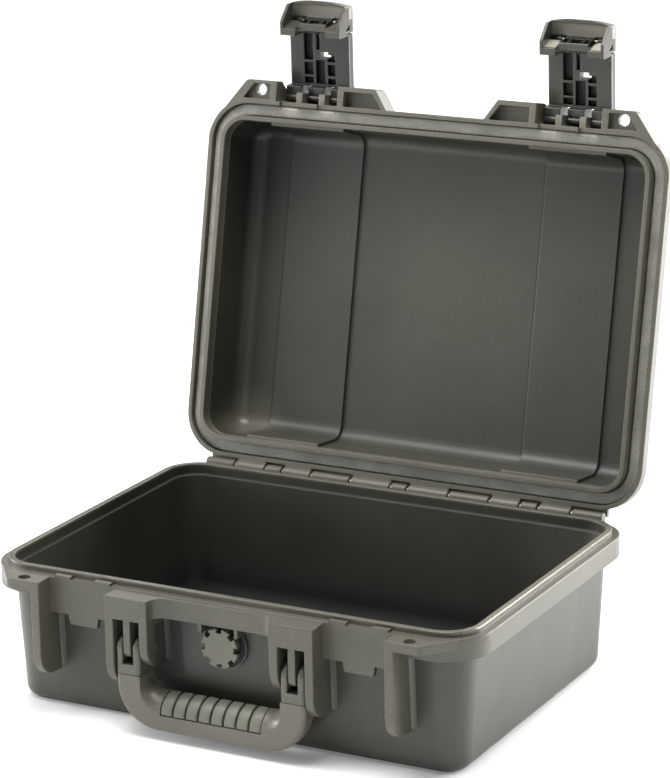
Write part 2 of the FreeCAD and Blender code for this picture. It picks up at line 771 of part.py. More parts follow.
def gusset():
    """Sloping web between the right ear of the lid and the wall behind it."""
    front = FRONT_Y + GUSSET_LIP
    back = -(OPENING_D / 2 - LIP_IN)
    top = LID_Z + GUSSET_H
    points = (
        (front, LID_Z), (front, LID_Z + EAR_LID_H), (front + GUSSET_SLOPE, top),
        (back, top), (back, LID_Z),
    )
    return side_prism(points, (0, EDGE_R, EDGE_R, 0, 0), CHANNEL_OUT_X, CHANNEL_OUT_X + GUSSET_T)


def ear_pocket():
    """Pocket round the eye in the right ear of the lid."""
    x0 = CHANNEL_OUT_X + EAR_WALL
    y0 = FRONT_Y + EAR_WALL / 2
    y1 = FLANGE_FRONT_Y - EDGE_R
    x1 = CHANNEL_OUT_X + EAR_W - EAR_WALL
    points = ((x0, y0), (x1 - EDGE_R, y0), (x1 + (y1 - y0) * EAR_W / EAR_FALL, y1), (x0, y1))
    return plan_prism(points, [EDGE_R] * len(points), LID_Z - OVERRUN, LID_Z + EAR_POCKET_DEPTH)


def lug(centre_x):
    """Lug on the lid that carries the latch pin."""
    back = -(OPENING_D / 2 - LIP_IN - BAND_DEPTH)
    points = (
        (PIVOT_Y - LUG_R, LID_Z + LUG_FOOT), (PIVOT_Y - LUG_R, PIVOT_Z + LUG_R),
        (PIVOT_Y + LUG_R, PIVOT_Z + LUG_R), (back, PIVOT_Z + LUG_R * 2), (back, LID_Z + LUG_FOOT),
    )
    radii = (0, LUG_R, 0, 0, 0)
    return side_prism(points, radii, centre_x - LUG_T / 2, centre_x + LUG_T / 2)


def lid_shell():
    """Moulded lid with its flange, seal groove, ears, guards and lugs."""
    dome = lid_dome()
    flange = slab(FLANGE_OUT, LID_Z, LID_Z + LID_FLANGE_H)
    flange = soften_level(flange, LID_FLANGE_R, LID_Z + LID_FLANGE_H)
    flange = soften_level(flange, EDGE_R / 2, LID_Z)
    lip = slab(LIP_T - LIP_IN, LID_Z - LIP_DROP, LID_Z)
    block, guard_pocket = guard()
    parts = [flange, lip]
    lugs = [lug(LATCH_X - LUG_X), lug(LATCH_X + LUG_X)]
    for piece in [block, ear(LID_Z, LID_Z + EAR_LID_H), gusset()] + lugs:
        parts.extend(both_sides(piece))
    parts.extend(knuckle(span, True) for span in knuckles(1))
    parts.append(hinge_ledge())
    shell = fuse(dome, parts)
    groove = band(LIP_T - LIP_IN + GROOVE_W, LIP_T - LIP_IN, LID_Z - LIP_DROP, GROOVE_FLOOR_Z)
    cuts = [lid_cavity(), groove]
    eye_y = FRONT_Y + EYE_IN
    for side in (-1, 1):
        cuts.append(rod(EYE_R, V(side * EYE_X, eye_y, LID_Z - OVERRUN), V(side * EYE_X, eye_y, LID_TOP)))
        for part in (-1, 1):
            x0, x1 = sorted((LATCH_X + part * (PAD_IN - PAD_CLEAR), LATCH_X + part * (PAD_OUT + PAD_CLEAR)))
            notch = box(x0, x1, FRONT_Y, FLANGE_FRONT_Y + PAD_D + PAD_CLEAR, LID_Z, LID_Z + PAD_H + PAD_CLEAR)
            cuts.append(notch if side > 0 else mirrored(notch))
        cuts.append(latch_pin_rod(side, LATCH_PIN_R + FIXED_FIT))
    cuts.extend(both_sides(guard_pocket) + both_sides(ear_pocket()))
    cuts.extend(hinge_bores(RUNNING_FIT))
    return shell.cut(cuts)


def lid_gasket():
    """Sponge cord in the groove of the lid."""
    middle = LIP_T - LIP_IN + GROOVE_W / 2
    low = GROOVE_FLOOR_Z - GASKET_T
    ring = band(middle + GASKET_W / 2, middle - GASKET_W / 2, low, GROOVE_FLOOR_Z)
    return soften_level(ring, EDGE_R, low)


def latch_pin_rod(side, radius):
    """Rod on the pivot of one latch."""
    half = LATCH_HALF - LATCH_SIDE_CLEAR
    x = side * LATCH_X
    return rod(radius, V(x - half, PIVOT_Y, PIVOT_Z), V(x + half, PIVOT_Y, PIVOT_Z))


def latch_place(q, l):
    """Point of the shut latch in the side view from its own q and l."""
    return PIVOT_Y - q, PIVOT_Z - l


def latch_prism(points, radii, x0, x1):
    """Prism across the latch on an outline in q and l."""
    return side_prism([latch_place(q, l) for q, l in points], radii, x0, x1)


def latch_box(x0, x1, q0, q1, l0, l1):
    """Block in the latch between two values of x, q and l."""
    points = ((q0, l0), (q1, l0), (q1, l1), (q0, l1))
    return latch_prism(points, (0, 0, 0, 0), x0, x1)


def latch_body():
    """Latch plate of the right latch with its ribs, pockets and knuckles."""
    x0 = LATCH_X - LATCH_HALF
    x1 = LATCH_X + LATCH_HALF
    outside = SLAB_Q + SLAB_T
    body = latch_box(x0, x1, SLAB_Q, outside, SLAB_START, SLAB_END)
    body = soften_along(body, SLAB_EDGE_R, AXIS_Z, lambda p: True)
    gap = LATCH_SIDE_CLEAR
    lug_half = LUG_T / 2 + gap
    spans = (
        (x0, LATCH_X - LUG_X - lug_half),
        (LATCH_X - LUG_X + lug_half, LATCH_X + LUG_X - lug_half),
        (LATCH_X + LUG_X + lug_half, x1),
    )
    parts = []
    for start, end in spans:
        barrel = rod(LATCH_KNUCKLE_R, V(start, PIVOT_Y, PIVOT_Z), V(end, PIVOT_Y, PIVOT_Z))
        points = (
            (0, -LATCH_KNUCKLE_R), (SLAB_Q + SLAB_T / 2, -LATCH_KNUCKLE_R / 2),
            (outside, SLAB_START), (outside, KNUCKLE_TOP), (-KNUCKLE_FACE_Q, KNUCKLE_TOP),
            (-KNUCKLE_FACE_Q, 0),
        )
        parts.append(barrel.fuse(latch_prism(points, (0, LATCH_KNUCKLE_R / 2, 0, 0, EDGE_R, 0), start, end)))
    arm_half = ARM_PLATE_T / 2
    for side in (-1, 1):
        x = LATCH_X + side * ARM_PLATE_X
        q0 = PADDLE_PIN_Q - ARM_PLATE_Q / 2
        q1 = PADDLE_PIN_Q + ARM_PLATE_Q / 2
        points = ((q0, SLAB_END - SLAB_EDGE_R), (q1, SLAB_END - SLAB_EDGE_R),
                  (q1, PADDLE_PIN_L + ARM_PLATE_Q / 2), (q0, PADDLE_PIN_L + ARM_PLATE_Q / 2))
        parts.append(latch_prism(points, (0, 0, EDGE_R, EDGE_R), x - arm_half, x + arm_half))
    body = fuse(body, parts)
    cuts = []
    for side in (-1, 1):
        x = LATCH_X + side * LUG_X
        cuts.append(latch_box(x - lug_half, x + lug_half, -SLAB_Q, outside + OVERRUN, 0, LUG_NOTCH_TOP))
    length = SLAB_END
    for (share0, share1), rows in zip(POCKET_X_SHARE, POCKET_L_SHARE):
        for row0, row1 in rows:
            cuts.append(latch_box(
                LATCH_X + share0 * LATCH_HALF, LATCH_X + share1 * LATCH_HALF,
                -SLAB_Q, SLAB_Q + POCKET_DEPTH, row0 * length, row1 * length,
            ))
    s0, s1, l0, l1 = SPRING_SLOT_SHARE
    cuts.append(latch_box(LATCH_X + s0 * LATCH_HALF, LATCH_X + s1 * LATCH_HALF,
                          -SLAB_Q, SLAB_Q + POCKET_DEPTH, l0 * length, l1 * length + OVERRUN))
    s0, s1, l0, l1 = HATCH_SHARE
    cuts.append(latch_box(LATCH_X + s0 * LATCH_HALF, LATCH_X + s1 * LATCH_HALF,
                          -SLAB_Q, outside + OVERRUN, l0 * length, l1 * length))
    cuts.append(latch_pin_rod(1, LATCH_PIN_R + RUNNING_FIT))
    cuts.append(paddle_pin_rod(PADDLE_PIN_R + FIXED_FIT))
    return body.cut(cuts)


def paddle_pin_rod(radius):
    """Rod on the pivot of the right paddle."""
    y, z = latch_place(PADDLE_PIN_Q, PADDLE_PIN_L)
    half = ARM_PLATE_X + ARM_PLATE_T / 2
    return rod(radius, V(LATCH_X - half, y, z), V(LATCH_X + half, y, z))


def latch_spring():
    """Bent wire in the slot of the latch that pushes the paddle home."""
    s0, s1, l0, l1 = SPRING_SLOT_SHARE
    x = LATCH_X + (s0 + s1) / 2 * LATCH_HALF
    points = []
    wire = SPRING_WIRE_R
    floor_q = SLAB_Q + POCKET_DEPTH - wire - RUNNING_FIT
    for q, l in (
        (floor_q, l0 * SLAB_END + wire),
        (floor_q, (l0 + l1) / 2 * SLAB_END),
        (SLAB_Q - SPRING_RISE, SLAB_END + SPRING_RISE),
    ):
        y, z = latch_place(q, l)
        points.append(V(x, y, z))
    legs = [rod(wire, points[0], points[1]), rod(wire, points[1], points[2])]
    return fuse(legs[0], [legs[1], Part.makeSphere(wire, points[1])])


def latch_button():
    """Release paddle of the right latch: skin, cheeks, shelves and hook block."""
    x0 = LATCH_X - LATCH_HALF
    x1 = LATCH_X + LATCH_HALF
    outside = SLAB_Q + SLAB_T
    inside = outside - PADDLE_SKIN_T
    lip = PADDLE_LIP_T
    skin_points = (
        (inside, PADDLE_START), (outside, PADDLE_START), (outside, PADDLE_TIP),
        (SLAB_Q, PADDLE_TIP), (SLAB_Q, PADDLE_TIP - lip), (inside, PADDLE_TIP - lip),
    )
    skin_radii = (0, 0, SLAB_T - EDGE_R, 0, 0, SLAB_T - PADDLE_SKIN_T - EDGE_R * 2)
    skin = latch_prism(skin_points, skin_radii, x0, x1)
    arch = PADDLE_TIP_ARCH
    sagitta = (LATCH_HALF ** 2 + arch ** 2) / (arch * 2)
    y0, tip_z = latch_place(outside, PADDLE_TIP)
    y1 = latch_place(-PADDLE_REACH, PADDLE_TIP)[0]
    disc = rod(sagitta, V(LATCH_X, y0 - OVERRUN, tip_z + sagitta), V(LATCH_X, y1 + OVERRUN, tip_z + sagitta))
    foot_l = PADDLE_FOOT
    cheek_points = (
        (outside, PADDLE_START), (outside, PADDLE_TIP), (SLAB_Q, PADDLE_TIP),
        (-PADDLE_REACH, CHEEK_TOP), (-PADDLE_REACH, foot_l), (SLAB_Q - EDGE_R, foot_l),
        (SLAB_Q - EDGE_R, PADDLE_START),
    )
    cheek_radii = (0, SLAB_T - EDGE_R, 0, EDGE_R * 2, EDGE_R, 0, 0)
    parts = []
    shelf_points = (
        (-PADDLE_REACH, foot_l), (SLAB_Q - EDGE_R, foot_l),
        (SLAB_Q - EDGE_R, foot_l + SHELF_T + SHELF_SLOPE), (-PADDLE_REACH, foot_l + SHELF_T),
    )
    for side in (-1, 1):
        edge = LATCH_X + side * LATCH_HALF
        inner = edge - side * CHEEK_T
        parts.append(latch_prism(cheek_points, cheek_radii, *sorted((edge, inner))))
        shelf_in = LATCH_X + side * SHELF_IN
        parts.append(latch_prism(shelf_points, (EDGE_R, 0, 0, EDGE_R), *sorted((inner, shelf_in))))
    hook_points = (
        (-HOOK_FRONT_Q, HOOK_START), (inside, HOOK_START), (inside, HOOK_END), (-HOOK_FRONT_Q, HOOK_FRONT_END),
    )
    hook = latch_prism(hook_points, (0, 0, 0, EDGE_R), LATCH_X - HOOK_HALF, LATCH_X + HOOK_HALF)
    half = SHELF_IN + EDGE_R
    joiner = latch_box(LATCH_X - half, LATCH_X + half, -HOOK_FRONT_Q, SLAB_Q - SHELF_T,
                       HOOK_JOINER_START, HOOK_START + HOOK_WALL)
    parts.extend([hook, joiner])
    button = fuse(skin, parts).common(disc)
    cuts = [paddle_pin_rod(PADDLE_PIN_R + RUNNING_FIT)]
    for share0, share1 in HOOK_SLOT_SHARE:
        across = (LATCH_X + share0 * HOOK_HALF, LATCH_X + share1 * HOOK_HALF)
        through = (-HOOK_FRONT_Q + HOOK_WALL, SLAB_Q - HOOK_WALL)
        cuts.append(latch_box(*across, *through, HOOK_START + HOOK_WALL, HOOK_END + OVERRUN))
    window = ((WINDOW_Q - WINDOW_W, WINDOW_L), (WINDOW_Q, WINDOW_L), (WINDOW_Q, WINDOW_L + WINDOW_H))
    for side in (-1, 1):
        edge = LATCH_X + side * LATCH_HALF
        ends = sorted((edge - side * (CHEEK_T + EDGE_R), edge + side * EDGE_R))
        cuts.append(latch_prism(window, (0, 0, 0), *ends))
    return button.cut(cuts)


def soften_sides(shape, radius, places):
    """Round the edges that lie in upright planes across the case, but for level ones at their foot."""
    foot = shape.BoundBox.ZMin
    picked = []
    for edge in shape.Edges:
        bounds = edge.BoundBox
        at = any(abs(bounds.XMin - x) < LEVEL_TOL and abs(bounds.XMax - x) < LEVEL_TOL for x in places)
        level = isinstance(edge.Curve, Part.Line) and bounds.ZLength < LEVEL_TOL
        if at and not (level and bounds.ZMax < HANDLE_Z) and bounds.ZMax > foot + LEVEL_TOL:
            picked.append(edge)
    return shape.makeFillet(radius, picked)


def handle_fork(side):
    """Fork end of the handle core that straddles the rib of one bracket."""
    x0, x1 = sorted((side * (HANDLE_X - ARM_W / 2), side * (HANDLE_X + ARM_W / 2)))
    front = HANDLE_Y - ARM_R
    back = HANDLE_Y + ARM_R
    crown = HANDLE_Z + ARM_R
    points = ((front, crown), (back, crown), (back - ARM_BACK_IN, SEAM_Z), (front, SEAM_Z))
    cheek = side_prism(points, (ARM_R - FILLET_LAND, ARM_BACK_R, 0, 0), x0, x1)
    cheek = soften_sides(cheek, FORK_SIDE_R, (x0, x1))
    slot_ends = (side * HANDLE_X - FORK_SLOT / 2, side * HANDLE_X + FORK_SLOT / 2)
    slot = box(*slot_ends, front - OVERRUN, back + OVERRUN, HANDLE_Z - FORK_DEPTH, HANDLE_Z + ARM_R + OVERRUN)
    cheek = soften_sides(cheek.cut(slot), FORK_SLOT_R, slot_ends)
    bore = rod(HANDLE_PIN_R + RUNNING_FIT, V(x0, HANDLE_Y, HANDLE_Z), V(x1, HANDLE_Y, HANDLE_Z))
    return cheek.cut(bore)


def handle_core():
    """Stiff core of the handle: two forks joined by a bar inside the bow."""
    y0 = HANDLE_Y - ARM_R + (BOW_T - CORE_T) / 2
    y1 = y0 + CORE_T
    outer = HANDLE_X + CORE_W / 2
    inner = HANDLE_X - CORE_W / 2
    middle = BOW_FOOT + BOW_LIP_H
    low = middle - CORE_W / 2
    high = middle + CORE_W / 2
    points = ((outer, SEAM_Z), (outer, low), (-outer, low), (-outer, SEAM_Z),
              (-inner, SEAM_Z), (-inner, high), (inner, high), (inner, SEAM_Z))
    radii = (0, BOW_CORNER_R / 2, BOW_CORNER_R / 2, 0, 0, EDGE_R, EDGE_R, 0)
    bar = front_prism(points, radii, y0, y1)
    return fuse(bar, [handle_fork(-1), handle_fork(1)])


def bow_solid():
    """Outer form of the bow below the seams, before the finger opening."""
    outer = HANDLE_X + ARM_W / 2
    y0 = HANDLE_Y - ARM_R
    points = ((outer, SEAM_Z), (outer, BOW_FOOT), (-outer, BOW_FOOT), (-outer, SEAM_Z))
    solid = front_prism(points, (0, BOW_CORNER_R, BOW_CORNER_R, 0), y0, y0 + BOW_T)
    picked = []
    for edge in solid.Edges:
        bounds = edge.BoundBox
        if bounds.YLength < BOW_EDGE_R and bounds.ZMin < SEAM_Z - EDGE_R:
            picked.append(edge)
    return solid.makeFillet(BOW_EDGE_R, picked)


def finger_opening():
    """Finger opening of the bow, a quarter round over the bar that fades out up the arms."""
    inner = HANDLE_X - ARM_W / 2
    rise = BAR_H - BOW_LIP_H
    back = HANDLE_Y - ARM_R + BOW_T
    wires = []
    for step in range(BOW_STATIONS):
        share = step / (BOW_STATIONS - 1)
        turn = math.pi / 2 * share
        y = back - BOW_T * math.cos(turn)
        z = BOW_FOOT + BOW_LIP_H + rise * math.sin(turn)
        radius = BOW_LIP_R + (BOW_INNER_R - BOW_LIP_R) * share
        top = SEAM_Z + OVERRUN
        corners = ((inner, top), (inner, z), (-inner, z), (-inner, top))
        wires.append(rounded_outline(corners, (0, radius, radius, 0), lambda u, v, y=y: V(u, y, v)))
    scoop = Part.makeLoft(wires, True, False)
    behind = Part.Face(wires[-1]).extrude(V(0, OVERRUN, 0))
    return scoop.fuse(behind)


def grip_inside(skin):
    """What is left of the bar under a skin of this thickness."""
    half = RIB_COUNT * RIB_PITCH / 2
    low = BOW_FOOT + BOW_LIP_H
    high = BOW_FOOT + BAR_H - skin
    front = HANDLE_Y - ARM_R + skin
    back = HANDLE_Y - ARM_R + BOW_T + EDGE_R
    points = ((front, low), (front, high), (back, high), (back, low))
    return side_prism(points, (0, high - low - FILLET_LAND, 0, 0), -half, half)


def grip_sleeve():
    """Plain sleeve of the grip before its grooves are cut."""
    half = RIB_COUNT * RIB_PITCH / 2
    y0 = HANDLE_Y - ARM_R
    zone = box(-half, half, y0 - EDGE_R, y0 + BOW_T + EDGE_R, BOW_FOOT + BOW_LIP_H, SEAM_Z)
    return bow_blank().common(zone).cut(grip_inside(GRIP_SKIN_T))


def bow_blank():
    """Whole outer form of the bow with its finger opening."""
    return bow_solid().cut(finger_opening())


def handle_grip():
    """Ribbed soft sleeve over the top of the bar."""
    sleeve = grip_sleeve()
    inside = grip_inside(RIB_GROOVE_DEPTH)
    y0 = HANDLE_Y - ARM_R
    cuts = []
    for index in range(1, RIB_COUNT):
        x = (index - RIB_COUNT / 2) * RIB_PITCH
        half = RIB_GROOVE / 2
        cuts.append(box(x - half, x + half, y0 - OVERRUN, y0 + BOW_T + OVERRUN, BOW_FOOT, SEAM_Z).cut(inside))
    return sleeve.cut(cuts)


def seam_groove():
    """Shallow groove round each arm where the bow meets the core."""
    y0 = HANDLE_Y - ARM_R
    half = ARM_W / 2
    grooves = []
    for side in (-1, 1):
        x = side * HANDLE_X
        around = box(x - half - EDGE_R, x + half + EDGE_R, y0 - EDGE_R, y0 + BOW_T + EDGE_R,
                     SEAM_Z - SEAM_GROOVE, SEAM_Z)
        x0 = x - half + SEAM_GROOVE
        x1 = x + half - SEAM_GROOVE
        near = y0 + SEAM_GROOVE
        far = y0 + BOW_T - SEAM_GROOVE
        corners = ((x0, near), (x1, near), (x1, far), (x0, far))
        inner = plan_prism(corners, [BOW_EDGE_R] * len(corners), SEAM_Z - SEAM_GROOVE, SEAM_Z)
        grooves.append(around.cut(inner))
    return grooves


def handle_bow():
    """Overmoulded bow of the handle with room for the core and the grip."""
    return bow_blank().cut([grip_sleeve(), handle_core()] + seam_groove())


def vent_pieces():
    """The vent valve: body, seal, membrane, notched cap and inner nut."""
    seat = vent_seat_y()
    nut_face = vent_nut_y()
    body_back = seat - VENT_SEAL_T
    body_front = body_back - VENT_BODY_T
    tail = nut_face + VENT_NUT_T + VENT_TAIL
    body = vent_disc(VENT_BODY_R, body_front, body_back).fuse(vent_disc(VENT_STEM_R, body_back, tail))
    pocket_back = body_front + MEMBRANE_T + EDGE_R
    body = body.cut([
        vent_disc(VENT_BORE_R, body_front, tail + OVERRUN),
        vent_disc(MEMBRANE_R + FIXED_FIT, body_front, pocket_back),
    ]).removeSplitter()
    membrane = vent_disc(MEMBRANE_R, pocket_back - MEMBRANE_T, pocket_back)
    ring_in = VENT_STEM_R + RUNNING_FIT
    ring_out = VENT_COLLAR_R - VENT_COLLAR_T - VENT_SEAL_EDGE_IN
    seal = vent_disc(ring_out, body_back, seat).cut(vent_disc(ring_in, body_back, seat))
    cap = vent_disc(VENT_R, body_front - VENT_T, body_front)
    cap = cap.makeFillet(EDGE_R, [e for e in cap.Edges if e.BoundBox.YMax < body_front - VENT_T + EDGE_R])
    cuts = []
    for index in range(VENT_NOTCHES):
        notch = box(-VENT_NOTCH_W / 2, VENT_NOTCH_W / 2, body_front - VENT_T, body_front,
                    VENT_Z + VENT_R - VENT_NOTCH_DEPTH, VENT_Z + VENT_R + OVERRUN)
        notch.rotate(V(0, 0, VENT_Z), AXIS_Y, 360.0 * index / VENT_NOTCHES)
        cuts.append(notch)
    cap = cap.cut(cuts)
    corners = []
    for index in range(NUT_SIDES):
        turn = math.radians(360.0 * index / NUT_SIDES)
        corners.append((VENT_NUT_R * math.cos(turn), VENT_Z + VENT_NUT_R * math.sin(turn)))
    nut = front_prism(corners, [0] * NUT_SIDES, nut_face, nut_face + VENT_NUT_T)
    nut = nut.cut(vent_disc(VENT_STEM_R + FIXED_FIT, nut_face, nut_face + VENT_NUT_T))
    return {
        "vent_body": body, "vent_seal": seal, "vent_membrane": membrane, "vent_cap": cap, "vent_nut": nut,
    }


def open_lid(shape):
    """Swing a piece of the lid to its open pose."""
    moved = shape.copy()
    moved.rotate(V(0, HINGE_Y, HINGE_Z), AXIS_X, -OPEN_DEG)
    return moved


def raise_latch(shape):
    """Swing a piece of a latch upright and open the lid with it."""
    moved = shape.copy()
    moved.rotate(V(0, PIVOT_Y, PIVOT_Z), AXIS_X, -LATCH_OPEN_DEG)
    return open_lid(moved)


def all_pieces():
    """Every piece in the pose at rest, by name."""
    pieces = {"base_shell": base_shell()}
    pieces.update(vent_pieces())
    for name, (x0, x1) in hinge_pin_spans().items():
        pieces["hinge_pin_" + name] = rod(HINGE_PIN_R, V(x0, HINGE_Y, HINGE_Z), V(x1, HINGE_Y, HINGE_Z))
    pieces["handle_pin_left"] = handle_pin(-1)
    pieces["handle_pin_right"] = handle_pin(1)
    pieces["handle_core"] = handle_core()
    pieces["handle_bow"] = handle_bow()
    pieces["handle_grip"] = handle_grip()
    pieces["lid_shell"] = open_lid(lid_shell())
    pieces["lid_gasket"] = open_lid(lid_gasket())
    latch = {
        "latch_body": latch_body(),
        "latch_button": latch_button(),
        "latch_button_pin": paddle_pin_rod(PADDLE_PIN_R),
        "latch_spring": latch_spring(),
    }
    for side, name in ((-1, "left"), (1, "right")):
        pieces["latch_pin_" + name] = open_lid(latch_pin_rod(side, LATCH_PIN_R))
        for piece_name, shape in latch.items():
            placed = shape if side > 0 else shape.translated(V(-2 * LATCH_X, 0, 0))
            pieces[piece_name + "_" + name] = raise_latch(placed)
    return pieces


def main():
    """Write one STEP file for each piece."""
    os.makedirs("parts", exist_ok=True)
    for name, shape in all_pieces().items():
        solids = shape.Solids
        piece = solids[0] if len(solids) == 1 else Part.makeCompound(solids)
        print(name, "solids", len(solids), "valid", shape.isValid(), "volume", round(shape.Volume))
        piece.exportStep("parts/" + name + ".step")


main()
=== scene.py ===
"""Looks of a protective hard case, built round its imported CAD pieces.

The file dresses the case in moulded plastic, rubber and steel, makes the soft pieces
(the sponge cord of the lid, the ribbed grip, the seal and the membrane of the vent),
and sets the floor, the lights and the camera. Lengths are in metres, with X to the
right, Y to the back and Z up.
"""
import logging
import math
from dataclasses import dataclass, field
from enum import Enum
from typing import Dict, List, Mapping, Optional, Sequence, Tuple, Union

import bpy
import numpy as np
from mathutils import Matrix, Vector


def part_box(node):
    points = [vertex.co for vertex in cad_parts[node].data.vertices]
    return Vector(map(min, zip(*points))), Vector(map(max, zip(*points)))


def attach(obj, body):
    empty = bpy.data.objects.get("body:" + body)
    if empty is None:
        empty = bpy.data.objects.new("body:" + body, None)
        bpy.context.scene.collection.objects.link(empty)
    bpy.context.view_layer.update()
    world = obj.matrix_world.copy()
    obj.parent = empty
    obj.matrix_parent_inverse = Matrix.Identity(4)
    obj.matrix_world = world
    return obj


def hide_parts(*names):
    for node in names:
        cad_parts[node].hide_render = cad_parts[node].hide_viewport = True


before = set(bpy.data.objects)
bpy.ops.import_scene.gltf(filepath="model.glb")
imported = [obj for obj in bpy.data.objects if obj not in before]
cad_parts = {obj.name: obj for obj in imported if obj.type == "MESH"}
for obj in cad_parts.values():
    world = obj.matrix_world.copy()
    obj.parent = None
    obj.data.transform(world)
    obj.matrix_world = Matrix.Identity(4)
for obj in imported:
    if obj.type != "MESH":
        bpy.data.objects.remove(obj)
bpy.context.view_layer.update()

LOG = logging.getLogger("hard_case")

Colour = Tuple[float, float, float]
Pair = Tuple[float, float]
Triple = Tuple[float, float, float]
Term = Union["Field", float]
Value = Union["Field", float, Sequence[float]]

MM = 0.001
# Y and Z of the lid's hinge, and the angle by which the lid stands open
HINGE: Pair = (152.3 * MM, 108.15 * MM)
OPEN_ANGLE = math.radians(101.86)
# Where most lights aim
CASE_MIDDLE: Triple = (0.0, 0.0, 0.2)
# Angle from which an edge of a new piece is sharp
SHARP_ANGLE = math.radians(38.0)
# Stretches of a noise over which a tone goes from dark to light, in a grain and in a cloud
NOISE_SPAN: Pair = (0.3, 0.7)
CLOUD_SPAN: Pair = (0.25, 0.75)
WHITE: Colour = (1.0, 1.0, 1.0)


class Body(Enum):
    """The moving bodies that pieces ride on."""

    BASE = "base"
    LID = "lid"
    HANDLE = "handle"


class Axis(Enum):
    """The axes that a revolved piece can have."""

    ACROSS = 0
    DEPTH = 1
    UP = 2


class Field:
    """A shader value that reads like a number in a formula."""

    def __init__(self, tree: "ShaderTree", socket: bpy.types.NodeSocket) -> None:
        """Keep the socket and the tree it belongs to.

        Args:
            tree: The node tree that new nodes go into.
            socket: The output socket that carries the value.
        """
        self.tree = tree
        self.socket = socket

    def __add__(self, other: Term) -> "Field":
        """Sum of two values."""
        return self.tree.math("ADD", self, other)

    def __radd__(self, other: Term) -> "Field":
        """Sum with a number on the left."""
        return self.tree.math("ADD", other, self)

    def __sub__(self, other: Term) -> "Field":
        """Difference of two values."""
        return self.tree.math("SUBTRACT", self, other)

    def __rsub__(self, other: Term) -> "Field":
        """Difference with a number on the left."""
        return self.tree.math("SUBTRACT", other, self)

    def __mul__(self, other: Term) -> "Field":
        """Product of two values."""
        return self.tree.math("MULTIPLY", self, other)

    def __pow__(self, other: Term) -> "Field":
        """Power of a value."""
        return self.tree.math("POWER", self, other)

    def at_least(self, other: Term) -> "Field":
        """The larger of two values."""
        return self.tree.math("MAXIMUM", self, other)

    def size(self) -> "Field":
        """The value without its sign."""
        return self.tree.math("ABSOLUTE", self, 0.0)

    def eased(self, low: float, high: float) -> "Field":
        """Smooth step of the value.

        Args:
            low: Value where the result leaves 0.
            high: Value where the result reaches 1.

        Returns:
            A value from 0 to 1.
        """
        return self.tree.add(
            "ShaderNodeMapRange",
            {"interpolation_type": "SMOOTHSTEP"},
            {"Value": self, "From Min": low, "From Max": high, "To Min": 0.0, "To Max": 1.0},
        )


